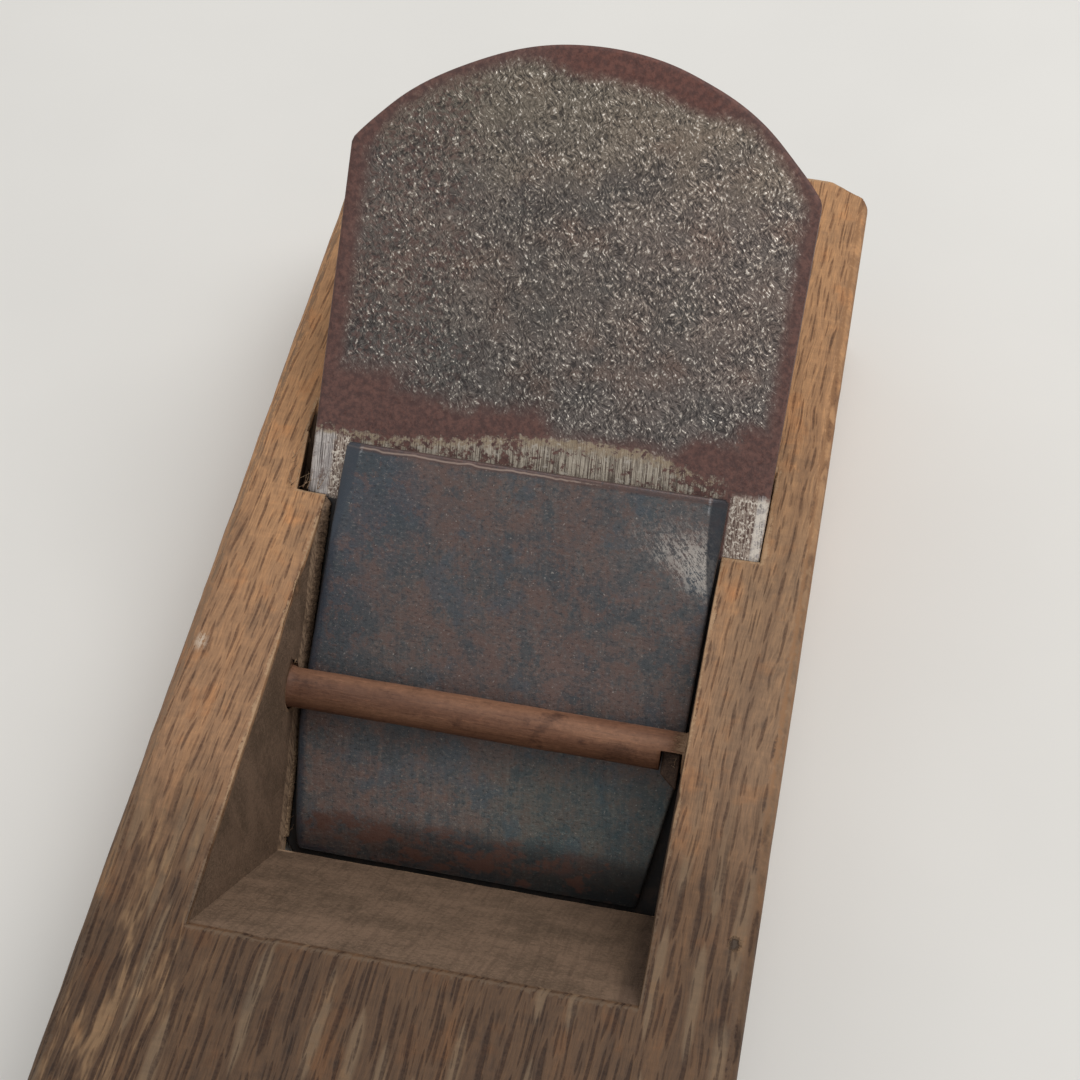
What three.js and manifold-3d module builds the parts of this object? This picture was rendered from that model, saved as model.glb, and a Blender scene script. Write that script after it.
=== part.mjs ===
import * as THREE from 'three';
import { mergeVertices } from 'three/addons/utils/BufferGeometryUtils.js';
import Module from 'manifold-3d';

// A Japanese hand plane: a hardwood body, a wedge-shaped laminated blade that the body's own grooves hold,
// a chip breaker pinched between the blade and a wooden press pin, and a small chock at the pin's end.
// Millimetres. +X is right, +Y is the end that the blade leans to, +Z is up.
// The origin is the middle of the sole.

const wasm = await Module();
wasm.setup();
const { degToRad } = THREE.MathUtils;

// Gap between pieces that touch, and how far a cutting solid runs past what it cuts
const seatClearance = 0.3;
const overrun = 2;

// Body
const bodyLength = 290;
const bodyWidth = 88;
const bodyHeight = 36.5;
const topEdgeChamfer = 1.2;
const soleEdgeChamfer = 0.8;
const tailCutAcross = 9;
const tailCutAlong = 4.5;
const endCornerCut = 1.5;
const cornerRounding = 1.2;
const mouthToTail = 127.1;

// Blade seat: the face of the blade climbs at the pitch, the bed is a little flatter, so the slot is a wedge
const pitch = degToRad(38.66);
const wedgeAngle = degToRad(1.4);
const slotWidth = 72.6;
const leftGrooveDraft = 1.4;
const bedReliefDepth = 3;
const bedReliefLength = 2.5;

// Throat: front ramp, lip, short steep wall above the mouth
const throatWidth = 60.4;
const cheekLean = degToRad(2.6);
const rampTopAhead = 27;
const lipHeight = 5.1;
const lipLean = 1.85;
const mouthGap = 1.1;

// Blade
const bladeLength = 128.2;
const bladeRetract = 1.6;
const bladeThickness = 8.6;
const bladeSidePlay = 1.5;
const bladeSideTaper = degToRad(1.05);
const headArcRise = 18.3;
const headEndThickness = 6.2;
const headBackCurveLength = 34;
const faceRimChamfer = 0.7;
const bevelAngle = degToRad(28);
const edgeCornerWidth = 5.8;
const edgeCornerHeight = 7;

// Cutting steel on the blade's face
const steelThickness = 2;
const steelLength = 56;
const steelScarf = 9;
const hollowDepth = 0.5;
const hollowSlope = 2.5;
const hollowSideLand = 8;
const hollowEdgeLand = 3.5;
const hollowLength = 36;
const hollowCornerRounding = 7;

// Chip breaker
const chipLength = 62.8;
const chipThickness = 2.5;
const chipSetback = 2;
const chipSidePlay = 1.3;
const chipTilt = degToRad(1.2);
const chipLean = degToRad(1.6);
const chipBevelLength = 7;
const chipEdgeThickness = 0.4;
const chipToeLength = 20;
const chipToeInset = 2.6;
const earAcross = 2.4;
const earAlong = 13;
const earOverlap = 0.05;

// Press pin and chock
const pinDiameter = 6.2;
const pinUpBlade = 29;
const pinSocketDepth = 10;
const pinEndRecess = 0.5;
const chockWidth = 2.6;
const chockInnerLength = 3.4;
const chockCheekLength = 5.6;
const chockAbovePin = 1.2;

// Facets of the round stretches
const arcSteps = 28;
const pinFacets = 40;

// Derived places
const bodyTail = bodyLength / 2;
const mouthY = bodyTail - mouthToTail;
const alongToTop = bodyHeight / Math.sin(pitch);
const pinRadius = pinDiameter / 2;

// Turns a closed geometry into a solid that can be cut and joined
function solidOf(geometry) {
  const bare = geometry.clone();
  bare.deleteAttribute('normal');
  bare.deleteAttribute('uv');
  const merged = mergeVertices(bare);
  return new wasm.Manifold(new wasm.Mesh({
    numProp: 3,
    vertProperties: new Float32Array(merged.attributes.position.array),
    triVerts: new Uint32Array(merged.index.array),
  }));
}

// Turns a solid back into flat-shaded triangles
function geometryOf(solid) {
  const { numProp, vertProperties, triVerts } = solid.getMesh();
  const geometry = new THREE.BufferGeometry();
  const positions = new Float32Array((vertProperties.length / numProp) * 3);
  for (let i = 0; i < positions.length / 3; i += 1) {
    positions.set(vertProperties.subarray(i * numProp, i * numProp + 3), i * 3);
  }
  geometry.setAttribute('position', new THREE.BufferAttribute(positions, 3));
  geometry.setIndex([...triVerts]);
  const flat = geometry.toNonIndexed();
  flat.computeVertexNormals();
  return flat;
}

function meshOf(name, solid, material) {
  const mesh = new THREE.Mesh(geometryOf(solid), material);
  mesh.name = name;
  return mesh;
}

function outline(points) {
  return new THREE.Shape(points.map(([u, v]) => new THREE.Vector2(u, v)));
}

// An outline whose corners are softened by the same distance along both sides
function softOutline(points, softening) {
  const shape = new THREE.Shape();
  const corners = points.map(([u, v]) => new THREE.Vector2(u, v));
  corners.forEach((corner, i) => {
    const before = corners.at(i - 1);
    const after = corners[(i + 1) % corners.length];
    const reach = (other) => Math.min(softening, corner.distanceTo(other) / 2);
    const enter = corner.clone().add(before.clone().sub(corner).setLength(reach(before)));
    const leave = corner.clone().add(after.clone().sub(corner).setLength(reach(after)));
    if (i === 0) shape.moveTo(enter.x, enter.y);
    else shape.lineTo(enter.x, enter.y);
    shape.quadraticCurveTo(corner.x, corner.y, leave.x, leave.y);
  });
  shape.closePath();
  return shape;
}

// Extrudes an outline drawn in X and Y upwards from a base height
function upwards(shape, depth, base = 0) {
  const geometry = new THREE.ExtrudeGeometry(shape, { depth, bevelEnabled: false, curveSegments: arcSteps });
  return solidOf(geometry.translate(0, 0, base));
}

// Extrudes an outline drawn in Y and Z across X, half to each side
function acrossX(shape, width) {
  const geometry = new THREE.ExtrudeGeometry(shape, { depth: width, bevelEnabled: false, curveSegments: arcSteps });
  geometry.translate(0, 0, -width / 2);
  const turn = new THREE.Matrix4().makeBasis(
    new THREE.Vector3(0, 1, 0),
    new THREE.Vector3(0, 0, 1),
    new THREE.Vector3(1, 0, 0),
  );
  return solidOf(geometry.applyMatrix4(turn));
}

// Extrudes an outline drawn in X and Z along the length of the body
function alongBody(shape, length) {
  const geometry = new THREE.ExtrudeGeometry(shape, { depth: length, bevelEnabled: false });
  return solidOf(geometry.translate(0, 0, -length / 2).rotateX(Math.PI / 2));
}

// Extrudes an outline drawn in X and out of the blade's face along the blade, to both sides of the mouth
function alongBlade(shape, length) {
  const geometry = new THREE.ExtrudeGeometry(shape, { depth: length, bevelEnabled: false });
  geometry.translate(0, 0, -length / 2).rotateX(Math.PI / 2 + pitch).translate(0, mouthY, 0);
  return solidOf(geometry);
}

// A point given along the blade and out of its face, as a place in the body's Y and Z
function onBlade(along, out) {
  return [
    mouthY + along * Math.cos(pitch) - out * Math.sin(pitch),
    along * Math.sin(pitch) + out * Math.cos(pitch),
  ];
}

// Thickness of the blade's wedge at a distance up from the sole
function wedgeThickness(along) {
  return bladeThickness + (along - alongToTop) * Math.tan(wedgeAngle);
}

// How far up the blade its back leaves the top of the body
const alongBackLeaves = alongToTop + bladeThickness / Math.tan(pitch);

// Half the blade's width at a distance up from the sole
function bladeHalfWidth(along) {
  return slotWidth / 2 - bladeSidePlay + (along - alongBackLeaves) * Math.tan(bladeSideTaper);
}

// Half the throat's width at a height: the cheeks lean in towards the sole
function throatHalfWidth(height) {
  return throatWidth / 2 - (bodyHeight - height) * Math.tan(cheekLean);
}

// The slot for the blade: the bed below, the groove's upper wall on the blade's face, a straight right side
// and a left side that draws in towards the face
function slotSolid() {
  const low = -overrun / Math.sin(pitch);
  const high = alongBackLeaves + bladeLength;
  const bed = (along) => -wedgeThickness(along) - seatClearance;
  const deep = low - bladeThickness;
  const section = outline([
    onBlade(deep, bed(deep)),
    onBlade(high, bed(high)),
    onBlade(high, seatClearance),
    onBlade(deep, seatClearance),
  ]);
  const half = slotWidth / 2;
  const cross = outline([
    [-half, -2 * bladeThickness],
    [half, -2 * bladeThickness],
    [half, overrun],
    [-half + leftGrooveDraft, overrun],
    [-half + leftGrooveDraft, seatClearance],
    [-half, -bladeThickness],
  ]);
  return acrossX(section, slotWidth + overrun).intersect(alongBlade(cross, 2 * high));
}

// The chamfer that keeps the blade's back off the top edge of the bed
function bedReliefSolid() {
  const bedAtTop = wedgeThickness(alongBackLeaves) + seatClearance;
  const [bedY] = onBlade(alongToTop + bedAtTop / Math.tan(pitch), -bedAtTop);
  const lowY = bedY - bedReliefDepth / Math.tan(pitch - wedgeAngle);
  const section = outline([
    [lowY, bodyHeight - bedReliefDepth],
    [bedY + bedReliefLength, bodyHeight],
    [bedY + bedReliefLength, bodyHeight + overrun],
    [lowY, bodyHeight + overrun],
  ]);
  return acrossX(section, slotWidth);
}

// The throat: ramp down to the lip, steep wall to the mouth, then up the blade's face, where it meets the slot
function throatSolid() {
  const wallY = mouthY - mouthGap;
  const lipY = wallY + lipLean;
  const rampTopY = mouthY - rampTopAhead;
  const rampSlope = (bodyHeight - lipHeight) / (lipY - rampTopY);
  const section = outline([
    [wallY, -overrun],
    [mouthY, -overrun],
    [mouthY, 0],
    onBlade(alongToTop + overrun / Math.sin(pitch), 0),
    [rampTopY - overrun / rampSlope, bodyHeight + overrun],
    [lipY, lipHeight],
    [wallY, 0],
  ]);
  const across = outline([
    [-throatHalfWidth(-overrun), -overrun],
    [throatHalfWidth(-overrun), -overrun],
    [throatHalfWidth(bodyHeight + overrun), bodyHeight + overrun],
    [-throatHalfWidth(bodyHeight + overrun), bodyHeight + overrun],
  ]);
  return acrossX(section, throatWidth + overrun).intersect(alongBody(across, bodyLength));
}

// Centre of the press pin: it lies on the chip breaker with the seat's clearance
const chipEdgeAlong = bladeRetract + chipSetback;
const chipTopOut = seatClearance + chipThickness + (pinUpBlade - chipEdgeAlong) * Math.tan(chipTilt);
const pinOut = chipTopOut + seatClearance + pinRadius;
const [pinY, pinZ] = onBlade(pinUpBlade, pinOut);

function cylinderAcross(radius, fromX, toX) {
  const geometry = new THREE.CylinderGeometry(radius, radius, toX - fromX, pinFacets);
  geometry.rotateZ(Math.PI / 2).translate((fromX + toX) / 2, pinY, pinZ);
  return solidOf(geometry);
}

// Body: a block with softened end corners, cut by the throat, the blade's slot and the pin's hole
function bodySolid() {
  const half = bodyWidth / 2;
  const across = outline([
    [-half, soleEdgeChamfer],
    [-half + soleEdgeChamfer, 0],
    [half - soleEdgeChamfer, 0],
    [half, soleEdgeChamfer],
    [half, bodyHeight - topEdgeChamfer],
    [half - topEdgeChamfer, bodyHeight],
    [-half + topEdgeChamfer, bodyHeight],
    [-half, bodyHeight - topEdgeChamfer],
  ]);
  const plan = softOutline([
    [-half, -bodyTail + endCornerCut],
    [-half + endCornerCut, -bodyTail],
    [half - endCornerCut, -bodyTail],
    [half, -bodyTail + endCornerCut],
    [half, bodyTail - tailCutAlong],
    [half - tailCutAcross, bodyTail],
    [-half + tailCutAcross, bodyTail],
    [-half, bodyTail - tailCutAlong],
  ], cornerRounding);
  const side = outline([
    [-bodyTail, soleEdgeChamfer],
    [-bodyTail + soleEdgeChamfer, 0],
    [bodyTail - soleEdgeChamfer, 0],
    [bodyTail, soleEdgeChamfer],
    [bodyTail, bodyHeight - topEdgeChamfer],
    [bodyTail - topEdgeChamfer, bodyHeight],
    [-bodyTail + topEdgeChamfer, bodyHeight],
    [-bodyTail, bodyHeight - topEdgeChamfer],
  ]);
  const pinHole = cylinderAcross(
    pinRadius + seatClearance,
    -throatWidth / 2 - pinSocketDepth,
    half + overrun,
  );
  return alongBody(across, bodyLength)
    .intersect(upwards(plan, bodyHeight))
    .intersect(acrossX(side, bodyWidth))
    .subtract(slotSolid())
    .subtract(bedReliefSolid())
    .subtract(throatSolid())
    .subtract(pinHole);
}

// Outline of the blade seen on its face: ground edge corners, tapering sides and the round head.
// It runs past the cutting edge, which the side outline sets.
function bladeFaceOutline() {
  const low = bladeRetract;
  const high = bladeRetract + bladeLength;
  const corner = high - headArcRise;
  const cornerHalf = bladeHalfWidth(corner);
  const headRadius = (cornerHalf ** 2 + headArcRise ** 2) / (2 * headArcRise);
  const headCentre = high - headRadius;
  const cornerAngle = Math.atan2(corner - headCentre, cornerHalf);
  const shape = new THREE.Shape();
  const cornerLean = edgeCornerWidth / edgeCornerHeight;
  const tipHalf = bladeHalfWidth(low + edgeCornerHeight) - edgeCornerWidth - overrun * cornerLean;
  shape.moveTo(-tipHalf, low - overrun);
  shape.lineTo(tipHalf, low - overrun);
  shape.lineTo(bladeHalfWidth(low + edgeCornerHeight), low + edgeCornerHeight);
  shape.lineTo(cornerHalf, corner);
  shape.absarc(0, headCentre, headRadius, cornerAngle, Math.PI - cornerAngle, false);
  shape.lineTo(-bladeHalfWidth(low + edgeCornerHeight), low + edgeCornerHeight);
  shape.closePath();
  return shape;
}

// Outline of the blade seen from the side: flat face, bevel, wedge-shaped back that curves in at the head
function bladeSideOutline() {
  const low = bladeRetract;
  const high = bladeRetract + bladeLength;
  const bevelSlope = Math.tan(bevelAngle);
  const wedgeSlope = Math.tan(wedgeAngle);
  const bevelTop = (wedgeThickness(0) + low * bevelSlope) / (bevelSlope - wedgeSlope);
  const curveStart = high - headBackCurveLength;
  const curveMiddle = high - headBackCurveLength / 2;
  const shape = new THREE.Shape();
  shape.moveTo(low, 0);
  shape.lineTo(bevelTop, -wedgeThickness(bevelTop));
  shape.lineTo(curveStart, -wedgeThickness(curveStart));
  shape.quadraticCurveTo(curveMiddle, -wedgeThickness(curveMiddle), high, -headEndThickness);
  shape.lineTo(high, 0);
  shape.closePath();
  return shape;
}

// The whole blade before it is split into iron and steel, in its own frame: X, up the blade, out of its face
function bladeSolid() {
  const depth = 2 * bladeThickness;
  const geometry = new THREE.ExtrudeGeometry(bladeFaceOutline(), {
    depth,
    curveSegments: arcSteps,
    bevelThickness: faceRimChamfer,
    bevelSize: faceRimChamfer,
    bevelOffset: -faceRimChamfer,
    bevelSegments: 2,
  });
  geometry.translate(0, 0, -depth - faceRimChamfer);
  return solidOf(geometry).intersect(acrossX(bladeSideOutline(), slotWidth + bladeLength));
}

// The layer of the face that is steel, with its scarfed upper end, grown by a gap
function steelLayerSolid(gap) {
  const low = bladeRetract - overrun;
  const high = bladeRetract + steelLength + gap;
  const deep = steelThickness + gap;
  const section = outline([
    [low, -deep],
    [high - steelScarf, -deep],
    [high, -gap],
    [high, overrun],
    [low, overrun],
  ]);
  return acrossX(section, slotWidth + overrun);
}

// The shallow hollow ground into the steel, with lands along the edge and both sides
function hollowSolid() {
  const low = bladeRetract + hollowEdgeLand;
  const high = low + hollowLength;
  const half = bladeHalfWidth(low) - hollowSideLand;
  const shape = softOutline([[-half, low], [half, low], [half, high], [-half, high]], hollowCornerRounding);
  const geometry = new THREE.ExtrudeGeometry(shape, {
    depth: overrun,
    curveSegments: arcSteps / 4,
    bevelThickness: hollowDepth,
    bevelSize: hollowSlope,
    bevelOffset: -hollowSlope,
    bevelSegments: 3,
  });
  return solidOf(geometry);
}

// A place on the chip breaker, whose ends are square and whose sides lean right as they go up
function onChip(across, along) {
  return [across + (along - chipLength / 2) * Math.tan(chipLean), along];
}

// Chip breaker in its own frame: X, up the plate from its edge, out of its underside
function chipSolid() {
  const half = (throatWidth - 2 * chipSidePlay) / 2;
  const profile = new THREE.Shape();
  profile.moveTo(0, 0);
  profile.lineTo(chipLength, 0);
  profile.lineTo(chipLength, chipThickness);
  profile.lineTo(chipBevelLength, chipThickness);
  profile.quadraticCurveTo(chipBevelLength / 2, chipThickness, 0, chipEdgeThickness);
  profile.closePath();
  const plan = outline([
    onChip(-half + chipToeInset, 0),
    onChip(half - chipToeInset, 0),
    onChip(half, chipToeLength),
    onChip(half, chipLength - earAlong + earOverlap),
    onChip(half - earAcross + earOverlap, chipLength),
    onChip(-half + earAcross - earOverlap, chipLength),
    onChip(-half, chipLength - earAlong + earOverlap),
    onChip(-half, chipToeLength),
  ]);
  return acrossX(profile, throatWidth)
    .intersect(upwards(plan, chipThickness + overrun, -overrun / 2))
    .add(earSolid(half, 1))
    .add(earSolid(half, -1));
}

// A top corner of the plate, bent down until it stands on the blade
function earSolid(half, side) {
  const corner = onChip(side * half, chipLength);
  const triangle = [
    onChip(side * (half - earAcross), chipLength),
    onChip(side * half, chipLength - earAlong),
    corner,
  ];
  const geometry = new THREE.ExtrudeGeometry(outline(triangle), { depth: chipThickness, bevelEnabled: false });
  const drop = chipLength * Math.sin(chipTilt);
  const position = geometry.attributes.position;
  for (let i = 0; i < position.count; i += 1) {
    const isCorner = Math.hypot(position.getX(i) - corner[0], position.getY(i) - corner[1]) < earOverlap;
    if (isCorner) position.setZ(i, position.getZ(i) - drop);
  }
  return solidOf(geometry);
}

// Chock: a small block beside the pin, against the right cheek, just clear of the chip breaker
function chockSolid(gap) {
  const chipSide = chipTopOut + seatClearance;
  const [, lowestHeight] = onBlade(pinUpBlade - chockCheekLength, chipSide);
  const cheekSide = throatHalfWidth(lowestHeight) - seatClearance;
  const right = cheekSide + gap;
  const left = cheekSide - chockWidth - gap;
  const low = chipSide - gap;
  const high = pinOut + chockAbovePin + gap;
  const shape = outline([
    [left, gap],
    [left, -chockInnerLength - gap],
    [right, -chockCheekLength - gap],
    [right, gap],
  ]);
  const geometry = new THREE.ExtrudeGeometry(shape, { depth: high - low, bevelEnabled: false });
  geometry.translate(0, pinUpBlade, low).rotateX(pitch).translate(0, mouthY, 0);
  return solidOf(geometry);
}

// Pin: driven in from the right flank to the end of the left socket, notched for the chock
function pinSolid() {
  const leftEnd = -throatWidth / 2 - pinSocketDepth + seatClearance;
  const rightEnd = bodyWidth / 2 - pinEndRecess;
  return cylinderAcross(pinRadius, leftEnd, rightEnd).subtract(chockSolid(seatClearance));
}

// Finishes
const oak = new THREE.MeshStandardMaterial({ color: 0x8f6c49, roughness: 0.7, metalness: 0 });
const darkWood = new THREE.MeshStandardMaterial({ color: 0x774835, roughness: 0.6, metalness: 0 });
const chockWood = new THREE.MeshStandardMaterial({ color: 0x5c4030, roughness: 0.75, metalness: 0 });
const forgedIron = new THREE.MeshStandardMaterial({ color: 0x4a443c, roughness: 0.7, metalness: 0.8 });
const groundSteel = new THREE.MeshStandardMaterial({ color: 0x9a9a98, roughness: 0.4, metalness: 1 });
const bluedPlate = new THREE.MeshStandardMaterial({ color: 0x41464c, roughness: 0.5, metalness: 0.8 });

// The blade leans back in its slot, pushed to the right until only the clearance is left
const bladeGroup = new THREE.Group();
bladeGroup.position.set(0, mouthY, 0);
bladeGroup.rotation.x = pitch;
const wholeBlade = bladeSolid();
const blade = new THREE.Group();
blade.position.x = bladeSidePlay - seatClearance;
blade.add(meshOf('blade_iron', wholeBlade.subtract(steelLayerSolid(seatClearance)), forgedIron));
blade.add(meshOf('blade_steel', wholeBlade.intersect(steelLayerSolid(0)).subtract(hollowSolid()), groundSteel));
bladeGroup.add(blade);

// The chip breaker lies on the blade, its right side just clear of the right cheek at the top of the body
const chip = meshOf('chip_breaker', chipSolid(), bluedPlate);
const [leanAtTop] = onChip(0, alongToTop - chipEdgeAlong);
chip.position.set(chipSidePlay - seatClearance - leanAtTop, chipEdgeAlong, seatClearance);
chip.rotation.x = chipTilt;
bladeGroup.add(chip);

const group = new THREE.Group();
group.add(meshOf('dai', bodySolid(), oak));
group.add(meshOf('press_pin', pinSolid(), darkWood));
group.add(meshOf('pin_chock', chockSolid(0), chockWood));
group.add(bladeGroup);
group.updateMatrixWorld(true);

export default group;
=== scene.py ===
import math

import bmesh
import bpy
import numpy as np
from mathutils import Matrix, Vector, geometry, kdtree, noise


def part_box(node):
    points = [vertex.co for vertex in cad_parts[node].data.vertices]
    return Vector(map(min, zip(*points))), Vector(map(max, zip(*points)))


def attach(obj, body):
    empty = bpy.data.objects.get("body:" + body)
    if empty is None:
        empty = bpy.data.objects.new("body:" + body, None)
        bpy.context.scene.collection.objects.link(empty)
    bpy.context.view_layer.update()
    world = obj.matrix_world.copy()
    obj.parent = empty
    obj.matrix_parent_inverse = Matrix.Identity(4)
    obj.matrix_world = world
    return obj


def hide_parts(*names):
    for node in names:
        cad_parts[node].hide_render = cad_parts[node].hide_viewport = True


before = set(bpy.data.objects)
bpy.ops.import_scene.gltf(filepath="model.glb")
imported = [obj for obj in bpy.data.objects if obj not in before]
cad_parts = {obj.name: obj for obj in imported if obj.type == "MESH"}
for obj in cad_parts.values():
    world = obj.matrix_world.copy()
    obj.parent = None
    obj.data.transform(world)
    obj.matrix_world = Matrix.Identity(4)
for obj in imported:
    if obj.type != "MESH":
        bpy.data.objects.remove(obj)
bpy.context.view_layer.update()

# The looks of a Japanese hand plane. Shapes are worked out in millimetres and set down in metres.
# Body frame: +X right, +Y the end that the blade leans to, +Z up, origin in the middle of the sole.
# Blade frame: X across, Y up the blade from the sole, Z out of the blade's face.
MM = 0.001
body_low, body_high = (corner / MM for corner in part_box("dai"))

# Blade seat
PITCH = math.radians(38.66)
MOUTH_Y = 17.9
BLADE_SHIFT = 1.2
ALONG_TOP = body_high.z / math.sin(PITCH)

# Blade
BLADE_LOW = 1.6
BLADE_HIGH = 129.8
HEAD_CORNER = 111.5
HEAD_HALF = 35.58
EDGE_HALF = 27.89
EDGE_CORNER_ALONG = 8.6
EDGE_CORNER_HALF = 33.69
WEDGE_AT_TOP = 8.6
WEDGE_ANGLE = math.radians(1.4)
BEVEL_ANGLE = math.radians(28)
HEAD_CURVE_LENGTH = 34
HEAD_THICKNESS = 6.2
# Place along the head's arc, depth and reach
HEAD_FLATS = (
    (0.09, 0.28, 0.06), (0.30, 0.12, 0.05), (0.52, 0.06, 0.08), (0.74, 0.34, 0.10), (0.93, 0.12, 0.04),
)

# Steel layer
STEEL_THICKNESS = 2
STEEL_TOP = 57.6
STEEL_SCARF = 9
SEAM = 0.3
HOLLOW_DEPTH = 0.5
HOLLOW_LOW = 5.1
HOLLOW_HIGH = 41.1
HOLLOW_HALF = 21
HOLLOW_SLOPE = 3

# Chip breaker
CHIP_LENGTH = 62.8
CHIP_THICKNESS = 2.5
CHIP_HALF = 28.9
CHIP_ALONG = 3.6
CHIP_SHIFT = 0.346
CHIP_TILT = math.radians(1.2)
CHIP_LEAN = math.radians(1.6)
CHIP_BEVEL = 7
CHIP_EDGE = 0.4
TOE_LENGTH = 20
TOE_INSET = 2.6
EAR_ACROSS = 2.4
EAR_ALONG = 13
SCUFF_PLACE = (25.5, 53.4, 2.5)
SCUFF_ANGLE = math.radians(-54)

# Press pin and chock
PIN_RADIUS = 3.1
PIN_ALONG = 29
PIN_OUT = 6.732
PIN_LEFT = -39.9
PIN_RIGHT = 43.5


def seat_frame(across, along=0.0, out=0.0, tilt=0.0):
    """The blade frame, moved across, along and out of the blade's face, then tilted."""
    seat = Matrix.Translation(Vector((0, MOUTH_Y, 0)) * MM) @ Matrix.Rotation(PITCH, 4, "X")
    return seat @ Matrix.Translation(Vector((across, along, out)) * MM) @ Matrix.Rotation(tilt, 4, "X")


SEAT_FRAME = seat_frame(0)
BLADE_FRAME = seat_frame(BLADE_SHIFT)
CHIP_FRAME = seat_frame(CHIP_SHIFT, CHIP_ALONG, SEAM, CHIP_TILT)

# Camera, solved from the straight edges: millimetres, degrees, and pixels of a square frame
FRAME_SIDE = 1080
SENSOR = 36
EYE = Vector((40.03, -110.12, 282.30))
AZIMUTH = math.radians(11.556)
ELEVATION = math.radians(54.689)
ROLL = math.radians(-0.3735)
FOCAL_PIXELS = 2021.25
AXIS_PIXEL = (552.293, 543.214)


def make_camera():
    """The camera at the solved place, with the small shift that the framing needs."""
    ahead = Vector((
        -math.sin(AZIMUTH) * math.cos(ELEVATION),
        math.cos(AZIMUTH) * math.cos(ELEVATION),
        -math.sin(ELEVATION),
    ))
    level = Vector((math.cos(AZIMUTH), math.sin(AZIMUTH), 0))
    upright = level.cross(ahead)
    right = level * math.cos(ROLL) + upright * math.sin(ROLL)
    up = upright * math.cos(ROLL) - level * math.sin(ROLL)
    data = bpy.data.cameras.new("camera")
    data.sensor_width = SENSOR
    data.lens = FOCAL_PIXELS / FRAME_SIDE * SENSOR
    data.shift_x = (FRAME_SIDE / 2 - AXIS_PIXEL[0]) / FRAME_SIDE
    data.shift_y = (AXIS_PIXEL[1] - FRAME_SIDE / 2) / FRAME_SIDE
    camera = bpy.data.objects.new("camera", data)
    camera.matrix_world = Matrix.Translation(EYE * MM) @ Matrix((right, up, -ahead)).transposed().to_4x4()
    bpy.context.scene.collection.objects.link(camera)
    bpy.context.scene.camera = camera


class Wire:
    """A socket that sums can be written with. Each operator adds the Math node that it stands for."""

    def __init__(self, finish, socket):
        self.finish = finish
        self.socket = socket

    def math(self, operation, *values):
        return self.finish.node("Math", {"operation": operation}, values)

    def __add__(self, other):
        return self.math("ADD", self, other)

    def __radd__(self, other):
        return self.math("ADD", other, self)

    def __sub__(self, other):
        return self.math("SUBTRACT", self, other)

    def __rsub__(self, other):
        return self.math("SUBTRACT", other, self)

    def __mul__(self, other):
        return self.math("MULTIPLY", self, other)

    def __rmul__(self, other):
        return self.math("MULTIPLY", other, self)

    def __truediv__(self, other):
        return self.math("DIVIDE", self, other)

    def __abs__(self):
        return self.math("ABSOLUTE", self)

    def __floor__(self):
        return self.math("FLOOR", self)


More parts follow.
